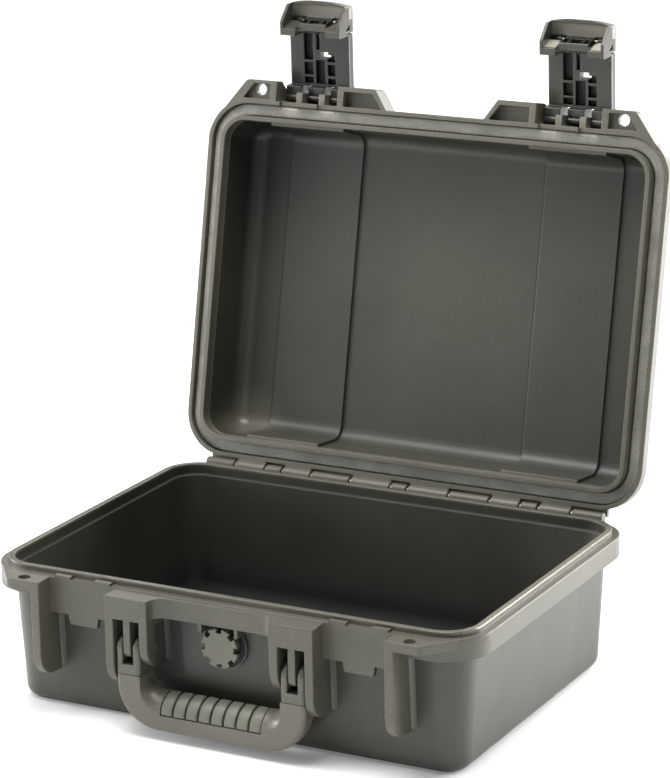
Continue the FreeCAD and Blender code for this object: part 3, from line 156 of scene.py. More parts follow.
class ShaderTree:
    """The nodes of one material, with short ways to add them."""

    def __init__(self, name: str) -> None:
        """Start an empty material.

        Args:
            name: Name of the material.
        """
        self.material = bpy.data.materials.new(name)
        self.material.use_nodes = True
        self.graph = self.material.node_tree
        self.graph.nodes.clear()

    def add(
        self,
        kind: str,
        settings: Optional[Mapping[str, object]] = None,
        inputs: Optional[Mapping[Union[str, int], Value]] = None,
        output: Union[str, int] = 0,
    ) -> Field:
        """Add one node.

        Args:
            kind: Type of the node.
            settings: Its settings, set before its sockets.
            inputs: Values or links of its sockets, by name or index.
            output: The output that is returned.

        Returns:
            The chosen output as a value.
        """
        node = self.graph.nodes.new(kind)
        for key, setting in (settings or {}).items():
            setattr(node, key, setting)
        for key, value in (inputs or {}).items():
            if isinstance(value, Field):
                self.graph.links.new(value.socket, node.inputs[key])
            else:
                node.inputs[key].default_value = value
        return Field(self, node.outputs[output])

    def math(self, operation: str, first: Term, second: Term) -> Field:
        """Add a Math node.

        Args:
            operation: Name of the operation.
            first: First term.
            second: Second term.

        Returns:
            The result.
        """
        return self.add("ShaderNodeMath", {"operation": operation}, {0: first, 1: second})

    def place(self) -> Field:
        """Place on the object, in metres."""
        return self.add("ShaderNodeTexCoord", output="Object")

    def split(self, vector: Field, axis: Axis) -> Field:
        """One component of a vector.

        Args:
            vector: The vector.
            axis: The component that is wanted.

        Returns:
            The component.
        """
        return self.add("ShaderNodeSeparateXYZ", None, {0: vector}, axis.value)

    def noise(self, scale: float, detail: float = 2.0, roughness: float = 0.5) -> Field:
        """Smooth noise over the object, about 0.5.

        Args:
            scale: Cells per metre.
            detail: Octaves.
            roughness: Strength of the finer octaves.

        Returns:
            The noise.
        """
        inputs = {"Vector": self.place(), "Scale": scale, "Detail": detail, "Roughness": roughness}
        return self.add("ShaderNodeTexNoise", None, inputs)

    def cells(self, scale: float) -> Field:
        """Distance to the nearest point of an irregular cell pattern.

        Args:
            scale: Cells per metre.

        Returns:
            The distance, 0 at the middle of a cell.
        """
        return self.add("ShaderNodeTexVoronoi", None, {"Vector": self.place(), "Scale": scale})

    def blend(self, share: Term, first: Value, second: Value) -> Field:
        """Mix two colours.

        Args:
            share: Share of the second colour.
            first: First colour.
            second: Second colour.

        Returns:
            The mixed colour.
        """
        return self.add("ShaderNodeMix", {"data_type": "RGBA"}, {0: share, 6: first, 7: second}, 2)

    def toned(self, share: Field, colour: Colour, dark: float, light: float) -> Field:
        """Colour whose brightness follows a value.

        Args:
            share: The value, from 0 to 1.
            colour: The colour.
            dark: Its brightness where the value is 0.
            light: Its brightness where the value is 1.

        Returns:
            The toned colour.
        """
        return self.blend(share, opaque(colour, dark), opaque(colour, light))

    def scaled(self, colour: Value, factor: Term) -> Field:
        """Colour made lighter or darker.

        Args:
            colour: The colour.
            factor: What it is multiplied by.

        Returns:
            The new colour.
        """
        return self.add("ShaderNodeVectorMath", {"operation": "SCALE"}, {0: colour, "Scale": factor})

    def attribute(self, name: str) -> Field:
        """A value that the piece's own mesh carries.

        Args:
            name: Name of the attribute.

        Returns:
            The value.
        """
        return self.add("ShaderNodeAttribute", {"attribute_name": name}, output="Fac")

    def soft_edge(self, radius: float) -> Field:
        """Normal that rounds the edges of the piece.

        Args:
            radius: Radius of the rounding.

        Returns:
            The normal.
        """
        return self.add("ShaderNodeBevel", {"samples": 4}, {"Radius": radius})

    def relief(
        self, height: Field, depth: float, strength: float = 1.0, under: Optional[Field] = None
    ) -> Field:
        """Normal that follows a relief.

        Args:
            height: Height, from 0 to 1.
            depth: Real depth of a height of 1.
            strength: Strength of the relief.
            under: The normal that the relief lies on, if it isn't the plain one.

        Returns:
            The normal.
        """
        inputs: Dict[Union[str, int], Value] = {"Height": height, "Distance": depth, "Strength": strength}
        if under is not None:
            inputs["Normal"] = under
        return self.add("ShaderNodeBump", None, inputs)

    def surface(self, inputs: Mapping[str, Value]) -> bpy.types.Material:
        """Close the tree with a Principled shader.

        Args:
            inputs: Values or links of the shader's sockets.

        Returns:
            The finished material.
        """
        shader = self.add("ShaderNodeBsdfPrincipled", None, inputs)
        output = self.graph.nodes.new("ShaderNodeOutputMaterial")
        self.graph.links.new(shader.socket, output.inputs["Surface"])
        return self.material


def opaque(colour: Colour, gain: float = 1.0) -> Tuple[float, float, float, float]:
    """The colour with its brightness scaled and full alpha."""
    return (colour[0] * gain, colour[1] * gain, colour[2] * gain, 1.0)


def at(x: float, y: float, z: float) -> Triple:
    """The place, in metres, of three distances in millimetres."""
    return (x * MM, y * MM, z * MM)


@dataclass(frozen=True)
class Spot:
    """A round spot with soft edges in which the colour and roughness of a moulding differ, to paint in light
    and shade.

    Args:
        centre: Middle of the spot.
        radius: Distance at which it has faded out.
        gain: How much lighter the colour is in its middle.
        smoother: How much the roughness drops there.
    """

    centre: Triple
    radius: float
    gain: float = 1.0
    smoother: float = 0.0

    def share(self, place: Sequence[Field]) -> Field:
        """How much of the spot's finish holds at a place.

        Args:
            place: The three components of the place.

        Returns:
            1 at the middle, fading to 0 at the radius.
        """
        away = [value - middle for value, middle in zip(place, self.centre)]
        distance = (away[0] * away[0] + away[1] * away[1] + away[2] * away[2]) ** 0.5
        return 1 - distance.eased(0.0, self.radius)


@dataclass(frozen=True)
class Zone:
    """A block with soft edges in which the colour and roughness of a moulding differ, mostly to paint in
    light and shade.

    Args:
        low: Lowest corner.
        high: Highest corner.
        gain: How much lighter the colour is.
        smoother: How much the roughness drops.
        fade: Width over which the zone fades out.
    """

    low: Triple
    high: Triple
    gain: float = 1.0
    smoother: float = 0.0
    fade: float = 3.0 * MM

    def share(self, place: Sequence[Field]) -> Field:
        """How much of the zone's finish holds at a place.

        Args:
            place: The three components of the place.

        Returns:
            1 inside the block, fading to 0 outside it.
        """
        parts = [
            value.eased(low - self.fade, low) * (1 - value.eased(high, high + self.fade))
            for value, low, high in zip(place, self.low, self.high)
        ]
        return parts[0] * parts[1] * parts[2]


@dataclass(frozen=True)
class Hollow:
    """A drafted tub about the middle of the case, in which the finish differs.

    It is a rounded box of half sizes X and Y and corner radius r. With
    u = max(|x| - X + r, 0), v = max(|y| - Y + r, 0) and a the way in from the mouth, the
    distance past its walls is w = sqrt(u u + v v) - r, plus a times the draft, and that
    past its far end is e = a - depth. With R the radius of the edge between them, a
    place is inside where sqrt(max(w + R, 0)^2 + max(e + R, 0)^2) is below R.

    Args:
        half: Half width X and half depth Y at the mouth.
        mouth: Height of the mouth.
        way_in: 1 if the hollow goes up from its mouth, -1 if it goes down.
        depth: How deep it is.
        draft: How much narrower it gets for each metre.
        gain: How much lighter the colour is.
        smoother: How much the roughness drops.
        fade: Width over which the finish changes at the walls and the far end.
        onset: Distance over which it sets in behind the mouth.
        corner: Radius of its corners.
        far_edge: Radius of the edge between its walls and its far end.
    """

    half: Pair
    mouth: float
    way_in: float
    depth: float
    draft: float
    gain: float = 1.0
    smoother: float = 0.0
    fade: float = 1.0 * MM
    onset: float = 1.0 * MM
    corner: float = 22.0 * MM
    far_edge: float = 0.0

    def share(self, place: Sequence[Field]) -> Field:
        """How much of the hollow's finish holds at a place.

        Args:
            place: The three components of the place.

        Returns:
            1 inside, fading to 0 outside.
        """
        inward = (place[2] - self.mouth) * self.way_in
        across, along = (
            (value.size() - half + self.corner).at_least(0.0) for value, half in zip(place, self.half)
        )
        beside = (across * across + along * along) ** 0.5 - self.corner
        out, past = (
            (value + self.far_edge).at_least(0.0)
            for value in (beside + inward * self.draft, inward - self.depth)
        )
        outside = ((out * out + past * past) ** 0.5 - self.far_edge).eased(0.0, self.fade)
        return (1 - outside) * inward.eased(0.0, self.onset)


@dataclass(frozen=True)
class Inside:
    """A region that ends where a hollow ends, so that it stays off the outside.

    Args:
        hollow: The hollow.
        region: The region.
    """

    hollow: Hollow
    region: Union[Spot, Zone]

    @property
    def gain(self) -> float:
        """How much lighter the colour is."""
        return self.region.gain

    @property
    def smoother(self) -> float:
        """How much the roughness drops."""
        return self.region.smoother

    def share(self, place: Sequence[Field]) -> Field:
        """How much of the region's finish holds at a place.

        Args:
            place: The three components of the place.

        Returns:
            The product of both shares.
        """
        return self.hollow.share(place) * self.region.share(place)


@dataclass(frozen=True)
class Swing:
    """The turn about an axis across the case by which a piece left its drawn pose.

    Args:
        pivot: Y and Z of the axis.
        angle: The turn, in radians.
    """

    pivot: Pair = HINGE
    angle: float = OPEN_ANGLE

    def shut(self, x: Field, y: Field, z: Field) -> Tuple[Field, Field, Field]:
        """Where a place of the swung piece was in the drawn pose.

        With y and z measured from the axis, y' = c y - s z and z' = s y + c z.

        Args:
            x: Place across.
            y: Place in depth.
            z: Place in height.

        Returns:
            The three components of the drawn place.
        """
        c, s = math.cos(self.angle), math.sin(self.angle)
        y, z = y - self.pivot[0], z - self.pivot[1]
        return x, y * c - z * s + self.pivot[0], y * s + z * c + self.pivot[1]


Region = Union[Spot, Zone, Hollow, Inside]

# How much narrower the base and the lid get for each metre, and where their walls start
BASE_DRAFT = 0.0594
LID_DRAFT = 0.0875
BASE_MOUTH = 110.5 * MM
LID_MOUTH = 113.5 * MM

# Regions of the base: its walls, both faces of them, darker as painted shade; its inside;
# painted shade on its floor; painted highlights on the face of its rim and on the right end of
# that; the line down its front; a painted sheen on the right end of the back wall inside;
# painted light on the lower left corner; and painted shadow on the left side of the recess
# round the vent
# Painted shade: the walls of the base, both faces of them, and its inside are darker
BASE_TUB_SHADE = Hollow(
    (192.5 * MM, 137.0 * MM), BASE_MOUTH, -1.0, 111.0 * MM, BASE_DRAFT, gain=0.49, corner=26.0 * MM
)
BASE_HOLLOW = Hollow((188.6 * MM, 133.1 * MM), BASE_MOUTH, -1.0, 108.5 * MM, BASE_DRAFT)
# Painted shade on the floor of the base, which is also rougher
BASE_FLOOR_SHADE = Hollow(
    (184.7 * MM, 129.2 * MM), 46.0 * MM, -1.0, 44.0 * MM, BASE_DRAFT,
    gain=0.22, smoother=-0.5, onset=30.0 * MM,
)
# Painted highlight on the face of the rim, which is also smoother
RIM_FACE_HIGHLIGHT = Zone(at(-250.0, -138.5, 109.2), at(250.0, 120.0, 130.0), gain=1.35, smoother=0.24, fade=1.2 * MM)
# Painted highlight on the right end of the rim
RIM_RIGHT_HIGHLIGHT = Zone(at(188.5, -139.0, 109.2), at(250.0, 130.0, 130.0), gain=1.45, fade=1.0 * MM)
FRONT_LINE = Zone(at(-145.85, -140.0, 6.0), at(-145.35, -120.0, 93.0), gain=0.55, fade=0.25 * MM)
# Painted sheen on the right end of the back wall inside
BACK_WALL_SHEEN = Inside(BASE_HOLLOW, Spot(at(168.0, 132.0, 88.0), 70.0 * MM, gain=1.9))
# Painted light on the lower left corner of the base
LOW_LEFT_LIGHT = Spot(at(-195.0, -135.0, 28.0), 90.0 * MM, gain=1.7)
# Painted shadow on the left side of the recess round the vent, which is also rougher
RECESS_SHADOW = Zone(at(-50.0, -150.0, 45.0), at(-38.5, -130.0, 84.0), gain=0.5, smoother=-0.2)

# Regions of the shut lid: its dome, both faces of it; its inside; painted light and shade at
# four places on the roof inside; painted shade lines beside the two steps there; and the lugs
# that carry the latches
LID_TUB = Hollow(
    (191.0 * MM, 135.5 * MM), LID_MOUTH, 1.0, 46.0 * MM, LID_DRAFT, gain=0.41, corner=24.0 * MM
)
LID_HOLLOW = Hollow(
    (184.9 * MM, 129.4 * MM), LID_MOUTH, 1.0, 41.1 * MM, LID_DRAFT, corner=18.5 * MM, far_edge=12.0 * MM
)
ROOF_LIGHT_AND_SHADE = tuple(
    Inside(LID_HOLLOW, spot) for spot in (
        # Painted sheen across the middle of the roof, which is also a little smoother
        Spot(at(10.0, -8.5, 154.0), 120.0 * MM, gain=1.5, smoother=0.05),
        # Painted highlight in the lower left corner of the open lid
        Spot(at(-166.8, 120.6, 152.4), 40.0 * MM, gain=3.2, smoother=0.08),
        # Painted shade in the upper left corner of the open lid
        Spot(at(-170.0, -100.0, 150.0), 120.0 * MM, gain=0.55),
        # Painted shade in the upper right corner of the open lid
        Spot(at(150.0, -120.0, 140.0), 90.0 * MM, gain=0.75),
    )
)
# Painted shade lines beside the steps at the left edges of the two raised bands
STEP_SHADE_WIDTH_MM = 0.5
ROOF_STEP_SHADE = tuple(
    Inside(LID_HOLLOW, Zone(
        at(left, -120.0, 120.0), at(left + STEP_SHADE_WIDTH_MM, 127.0, 170.0), gain=gain, fade=0.3 * MM,
    ))
    for left, gain in ((-148.8, 0.45), (78.8, 0.5))
)
LUG_HALF_MM = 3.2
LATCH_LUGS = tuple(
    Zone(at(middle - LUG_HALF_MM, -156.0, 112.0), at(middle + LUG_HALF_MM, -147.8, 120.0), gain=1.7)
    for middle in (-124.25, -104.25, 104.25, 124.25)
)

# Regions of the raised latches: painted shade in the pocket behind the ribs and in the gaps
# between the knuckles, and the right latch painted lighter, as painted light
LATCH_LIGHT_AND_SHADE = (
    # Painted shade in the pocket behind the ribs, which is also rougher
    Zone(at(-200.0, 239.5, 406.0), at(200.0, 243.5, 452.0), gain=0.08, smoother=-0.3, fade=1.0 * MM),
    # Painted shade in the gaps between the knuckles
    *(
        Zone(at(left, 200.0, 390.0), at(left + 13.0, 260.0, 405.5), gain=0.15, fade=0.8 * MM)
        for left in (-119.5, 109.0)
    ),
    # Painted light: the right latch is lighter because it catches more light
    Zone(at(0.0, 200.0, 380.0), at(200.0, 270.0, 500.0), gain=1.7),
)

# Regions of the paddles: a painted highlight on the skin, painted shade on the lattice under it
# and painted reflections on the two pads of the right one
PADDLE_LIGHT_AND_SHADE = (
    # Painted highlight on the skin of both paddles
    Zone(at(-200.0, 238.5, 466.5), at(200.0, 242.5, 475.5), gain=5.0, fade=0.8 * MM),
    # Painted shade on the lattice under the skin
    *(
        Zone(at(left, 227.5, 462.5), at(left + 31.0, 238.0, 466.8), gain=0.3, fade=1.0 * MM)
        for left in (-130.0, 99.0)
    ),
    # Painted reflections on the two pads of the right paddle
    *(
        Zone(at(left, 222.5, 459.6), at(right, 234.5, 463.0), gain=6.0, fade=0.7 * MM)
        for left, right in ((90.0, 99.5), (129.5, 138.0))
    ),
)

# Regions of the sponge cord: painted glints at four notches by the lugs of the latches
NOTCH_HALF_MM = 6.0
# Painted glints on the cord at the notches, which are also smoother
CORD_NOTCH_GLINTS = tuple(
    Zone(
        at(middle - NOTCH_HALF_MM, 200.0, 393.6), at(middle + NOTCH_HALF_MM, 230.0, 396.2),
        gain=1.6, smoother=0.3, fade=0.6 * MM,
    )
    for middle in (-131.25, -97.25, 97.25, 131.25)
)


def treated(
    colour: Value, roughness: Term, regions: Sequence[Region], swing: Optional[Swing], tree: ShaderTree
) -> Tuple[Value, Term]:
    """Change the colour and roughness inside some regions, most of which paint in light and shade.

    Args:
        colour: Colour outside them.
        roughness: Roughness outside them.
        regions: The regions.
        swing: How the piece was swung from the pose in which the regions are given.
        tree: The tree that new nodes go into.

    Returns:
        The colour and the roughness.
    """
    if not regions:
        return colour, roughness
    where = [tree.split(tree.place(), axis) for axis in Axis]
    if swing is not None:
        where = swing.shut(*where)
    for region in regions:
        share = region.share(where)
        colour = tree.scaled(colour, 1 + share * (region.gain - 1))
        roughness = roughness - share * region.smoother
    return colour, roughness


@dataclass(frozen=True)
class MouldedPlastic:
    """Moulded plastic with a fine matt grain and faint clouding.

    Args:
        name: Name of the material.
        colour: Main colour.
        clouding: Share by which the colour drifts over a hand's width.
        cloud_scale: Clouds per metre.
        speckle: Share by which the colour changes from grain to grain.
        roughness: Mean roughness.
        roughness_drift: How far the roughness drifts.
        drift_scale: Drifts per metre.
        grain_scale: Grains per metre.
        grain_depth: Depth of the grain.
        grain_strength: Strength of the grain's relief.
        ripple_scale: Ripples per metre of the mould's polish.
        ripple_depth: Depth of the ripples.
        ripple_strength: Strength of the ripples' relief.
        edge: Radius to which the edges look rounded.
        groove_shade: Share by which painted shade darkens the deepest groove, for a mesh that says how deep
            it is.
        refraction: Index of refraction of its skin.
        regions: Spots, blocks and hollows in which the colour and roughness differ, most of them painted
            light and shade.
        swing: How the piece was swung from the pose in which the regions are given.
    """

    name: str
    colour: Colour
    clouding: float = 0.14
    cloud_scale: float = 9.0
    speckle: float = 0.16
    roughness: float = 0.4
    roughness_drift: float = 0.08
    drift_scale: float = 26.0
    grain_scale: float = 1150.0
    grain_depth: float = 0.045 * MM
    grain_strength: float = 0.6
    ripple_scale: float = 42.0
    ripple_depth: float = 0.12 * MM
    ripple_strength: float = 0.5
    edge: float = 1.0 * MM
    groove_shade: float = 0.0
    refraction: float = 1.5
    regions: Tuple[Region, ...] = ()
    swing: Optional[Swing] = None

    def material(self) -> bpy.types.Material:
        """Make the material.

        The colour is the main colour, times a slow cloud, times a fast speckle. The
        relief is the grain plus a slow ripple, over softened edges.

        Returns:
            The material.
        """
        tree = ShaderTree(self.name)
        cloud = tree.noise(self.cloud_scale, 3.0).eased(*CLOUD_SPAN)
        speck = tree.noise(self.grain_scale, 1.0)
        colour = tree.toned(cloud, self.colour, 1 - self.clouding, 1 + self.clouding)
        fleck = tree.toned(speck.eased(*NOISE_SPAN), WHITE, 1 - self.speckle, 1 + self.speckle)
        colour = tree.add(
            "ShaderNodeMix", {"data_type": "RGBA", "blend_type": "MULTIPLY"}, {0: 1.0, 6: colour, 7: fleck}, 2
        )
        drift = tree.noise(self.drift_scale, 2.0) - 0.5
        roughness = self.roughness + drift * (2 * self.roughness_drift)
        colour, roughness = treated(colour, roughness, self.regions, self.swing, tree)
        # Painted shade in the grooves, darker where they are deeper
        if self.groove_shade:
            colour = tree.scaled(colour, 1 - tree.attribute("depth") * self.groove_shade)
        swell = tree.noise(self.ripple_scale, 1.0)
        ripple = tree.relief(swell, self.ripple_depth, self.ripple_strength, tree.soft_edge(self.edge))
        grain = tree.relief(speck, self.grain_depth, self.grain_strength, ripple)
        return tree.surface({
            "Base Color": colour, "Roughness": roughness, "Normal": grain, "IOR": self.refraction,
        })


@dataclass(frozen=True)
class BrushedSteel:
    """Turned or rolled steel with fine marks along one axis.

    Args:
        name: Name of the material.
        colour: Main colour.
        tones: Brightness of the darkest and the lightest marks.
        roughness: Mean roughness.
        roughness_swing: How far the roughness changes between marks.
        mark_scale: Marks per metre.
        mark_stretch: Scale of the marks along X, as a share of mark_scale.
        mark_depth: Depth of the marks.
        mark_strength: Strength of the marks' relief.
    """

    name: str
    colour: Colour = (0.46, 0.45, 0.43)
    tones: Pair = (0.82, 1.1)
    roughness: float = 0.34
    roughness_swing: float = 0.24
    mark_scale: float = 900.0
    mark_stretch: float = 0.06
    mark_depth: float = 0.02 * MM
    mark_strength: float = 0.5

    def material(self) -> bpy.types.Material:
        """Make the material: noise stretched along X gives the marks.

        Returns:
            The material.
        """
        tree = ShaderTree(self.name)
        scale = (self.mark_stretch, 1.0, 1.0)
        stretched = tree.add("ShaderNodeMapping", None, {"Vector": tree.place(), "Scale": scale})
        inputs = {"Vector": stretched, "Scale": self.mark_scale, "Detail": 2.0}
        marks = tree.add("ShaderNodeTexNoise", None, inputs)
        return tree.surface({
            "Base Color": tree.toned(marks.eased(*NOISE_SPAN), self.colour, *self.tones),
            "Metallic": 1.0,
            "Roughness": self.roughness + (marks - 0.5) * self.roughness_swing,
            "Normal": tree.relief(marks, self.mark_depth, self.mark_strength),
        })


@dataclass(frozen=True)
class SpongeRubber:
    """Closed-cell sponge or soft rubber with open pores in its skin.

    Args:
        name: Name of the material.
        colour: Main colour.
        tones: Brightness of the skin at its darkest and its lightest.
        pore_scale: Pores per metre.
        pore_span: Distances from the middle of a cell over which a pore ends.
        pore_depth: Depth of a pore.
        pore_strength: Strength of the pores' relief.
        pore_tone: Brightness in a pore, as a share of the colour.
        drift_scale: Drifts of tone per metre.
        roughness: Roughness of the skin.
        pore_roughness: How much rougher the pores are.
        regions: Places where the skin differs, such as painted glints.
    """

    name: str
    colour: Colour
    tones: Pair = (0.85, 1.15)
    pore_scale: float = 950.0
    pore_span: Pair = (0.1, 0.5)
    pore_depth: float = 0.12 * MM
    pore_strength: float = 0.6
    pore_tone: float = 0.55
    drift_scale: float = 60.0
    roughness: float = 0.72
    pore_roughness: float = 0.15
    regions: Tuple[Region, ...] = ()

    def material(self) -> bpy.types.Material:
        """Make the material: pores are dark where the cell pattern is near a middle.

        Returns:
            The material.
        """
        tree = ShaderTree(self.name)
        skin = tree.cells(self.pore_scale).eased(*self.pore_span)
        drift = tree.noise(self.drift_scale, 2.0).eased(*NOISE_SPAN)
        tone = tree.toned(drift, self.colour, *self.tones)
        tone = tree.blend(skin, opaque(self.colour, self.pore_tone), tone)
        roughness = self.roughness + (1 - skin) * self.pore_roughness
        tone, roughness = treated(tone, roughness, self.regions, None, tree)
        return tree.surface({
            "Base Color": tone,
            "Roughness": roughness,
            "Normal": tree.relief(skin, self.pore_depth, self.pore_strength),
        })


@dataclass(frozen=True)
class ThinFilm:
    """Pale woven membrane of the vent.

    Args:
        name: Name of the material.
        colour: Main colour.
        tones: Brightness between the threads and on them.
        roughness: Roughness.
        weave_scale: Radians of each wave per metre.
        weave_depth: Depth of the weave.
    """

    name: str
    colour: Colour = (0.62, 0.62, 0.6)
    tones: Pair = (0.8, 1.0)
    roughness: float = 0.8
    weave_scale: float = 2600.0
    weave_depth: float = 0.03 * MM

    def material(self) -> bpy.types.Material:
        """Make the material: two crossed waves give the weave.

        Returns:
            The material.
        """
        tree = ShaderTree(self.name)
        across = tree.split(tree.place(), Axis.ACROSS) * self.weave_scale
        upward = tree.split(tree.place(), Axis.UP) * self.weave_scale
        weave = (tree.math("SINE", across, 0.0) * tree.math("SINE", upward, 0.0)).eased(-1.0, 1.0)
        return tree.surface({
            "Base Color": tree.toned(weave, self.colour, *self.tones),
            "Roughness": self.roughness,
            "Normal": tree.relief(weave, self.weave_depth),
        })


@dataclass(frozen=True)
class PaleFloor:
    """Plain pale studio floor.

    Args:
        name: Name of the material.
        colour: Main colour.
        tones: Brightness at its darkest and its lightest.
        drift_scale: Drifts of tone per metre.
        roughness: Roughness.
        shine: Strength of its mirror light.
        glow: Light of its own, as a lightbox floor has.
    """

    name: str = "studio_floor"
    colour: Colour = (0.86, 0.86, 0.86)
    tones: Pair = (0.98, 1.0)
    drift_scale: float = 1.5
    roughness: float = 0.9
    shine: float = 0.1
    glow: float = 0.11

    def material(self) -> bpy.types.Material:
        """Make the material, with a very faint drift of tone.

        Returns:
            The material.
        """
        tree = ShaderTree(self.name)
        return tree.surface({
            "Base Color": tree.toned(tree.noise(self.drift_scale, 1.0), self.colour, *self.tones),
            "Roughness": self.roughness,
            "Emission Color": opaque(WHITE),
            "Emission Strength": self.glow,
            "Specular IOR Level": self.shine,
        })


def placed(name: str, data: bpy.types.ID) -> bpy.types.Object:
    """Make an object of its data and put it into the scene.

    Args:
        name: Name of the object.
        data: Its mesh, light or camera.

    Returns:
        The object, at the origin.
    """
    made = bpy.data.objects.new(name, data)
    bpy.context.scene.collection.objects.link(made)
    return made


def mesh_object(name: str, points: np.ndarray, quads: np.ndarray) -> bpy.types.Object:
    """Make an object of a closed surface with its faces outwards.

    The volume inside is a sixth of the sum, over the two triangles of each face, of
    a . (b x c). Where that is negative, every face is turned round.

    Args:
        name: Name of the object.
        points: Vertices, one row each.
        quads: Corner indices of the faces, four in a row.

    Returns:
        The object, at the origin.
    """
    a, b, c, d = (points[quads[:, k]] for k in range(4))
    volume = np.einsum("ij,ij->", a, np.cross(b, c)) + np.einsum("ij,ij->", a, np.cross(c, d))
    if volume < 0:
        quads = quads[:, ::-1]
    mesh = bpy.data.meshes.new(name)
    mesh.vertices.add(len(points))
    mesh.vertices.foreach_set("co", points.astype(np.float32).ravel())
    mesh.loops.add(quads.size)
    mesh.loops.foreach_set("vertex_index", quads.astype(np.int32).ravel())
    mesh.polygons.add(len(quads))
    mesh.polygons.foreach_set("loop_start", np.arange(len(quads), dtype=np.int32) * 4)
    mesh.update(calc_edges=True)
    mesh.validate()
    mesh.shade_smooth()
    mesh.set_sharp_from_angle(angle=SHARP_ANGLE)
    return placed(name, mesh)


def grid_faces(rows: int, columns: int, round_rows: bool, round_columns: bool) -> np.ndarray:
    """Faces of a grid of points.

    Args:
        rows: Number of rows.
        columns: Number of columns.
        round_rows: Whether the last row joins the first.
        round_columns: Whether the last column joins the first.

    Returns:
        Corner indices, four for each face.
    """
    i = np.arange(rows if round_rows else rows - 1)[:, None]
    j = np.arange(columns if round_columns else columns - 1)[None, :]
    i2, j2 = (i + 1) % rows, (j + 1) % columns
    corners = [i * columns + j, i * columns + j2, i2 * columns + j2, i2 * columns + j]
    return np.stack([c.ravel() for c in corners], axis=1)


def strip_caps(rows: int, columns: int) -> np.ndarray:
    """Faces that close both ends of a tube whose section is a fold of two equal halves.

    Point k of the section faces point columns - 1 - k, so each pair of neighbours and
    their opposites make one face.

    Args:
        rows: Number of sections.
        columns: Points in each section, an even number.

    Returns:
        Corner indices, four for each face.
    """
    k = np.arange(columns // 2 - 1)
    near = np.stack([k, columns - 1 - k, columns - 2 - k, k + 1], axis=1)
    far = near[:, ::-1] + (rows - 1) * columns
    return np.concatenate([near, far])


def revolved(name: str, axis_place: Pair, profile: np.ndarray, sides: int) -> bpy.types.Object:
    """Turn a closed profile round an axis that runs front to back.

    A profile point (r, y) goes to (x0 + r cos a, y, z0 + r sin a) for each angle a.

    Args:
        name: Name of the object.
        axis_place: X and Z of the axis.
        profile: Closed outline, rows of radius and Y.
        sides: Steps round the axis.

    Returns:
        The object.
    """
    angle = np.linspace(0, 2 * np.pi, sides, endpoint=False)[:, None]
    r, y = profile[None, :, 0], profile[None, :, 1]
    points = np.stack([
        axis_place[0] + r * np.cos(angle),
        y + 0 * angle,
        axis_place[1] + r * np.sin(angle),
    ], axis=-1).reshape(-1, 3)
    return mesh_object(name, points, grid_faces(sides, len(profile), True, True))


def superellipse(power: float, steps: int) -> Tuple[np.ndarray, np.ndarray]:
    """Points of the curve |u|^n + |v|^n = 1, with u and v the signed powers 2 / n of cos and sin.

    Args:
        power: The power n; the corners get squarer as it grows.
        steps: Number of points.

    Returns:
        The values u and v.
    """
    turn = np.linspace(0, 2 * np.pi, steps, endpoint=False)
    u, v = (np.sign(wave) * np.abs(wave) ** (2 / power) for wave in (np.cos(turn), np.sin(turn)))
    return u, v


def smooth_step(value: np.ndarray, low: float, high: float) -> np.ndarray:
    """Smooth step from 0 at low to 1 at high: t t (3 - 2 t), with t clipped to 0 and 1."""
    t = np.clip((value - low) / (high - low), 0, 1)
    return t * t * (3 - 2 * t)


@dataclass
class Assembly:
    """A group of pieces that are dressed together."""

    made: List[bpy.types.Object] = field(default_factory=list)

    def dress(self, node: str, material: bpy.types.Material) -> None:
        """Give a CAD piece its finish.

        Args:
            node: Name of the CAD piece.
            material: The finish.
        """
        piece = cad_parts[node]
        piece.data.materials.clear()
        piece.data.materials.append(material)
        LOG.info("dressed %s in %s", node, material.name)

    def add(
        self, piece: bpy.types.Object, body: Body, slot: str, stands_for: str, material: bpy.types.Material
    ) -> None:
        """Take a new piece into the group in the place of a CAD piece.

        Args:
            piece: The new piece.
            body: The body that it rides on.
            slot: Not used; names the material slot of the record that its finish belongs to.
            stands_for: Name of the CAD piece that it stands for.
            material: Its finish.
        """
        piece.data.materials.append(material)
        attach(piece, body.value)
        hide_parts(stands_for)
        self.made.append(piece)
        LOG.info("made %s for %s with %d faces", piece.name, stands_for, len(piece.data.polygons))


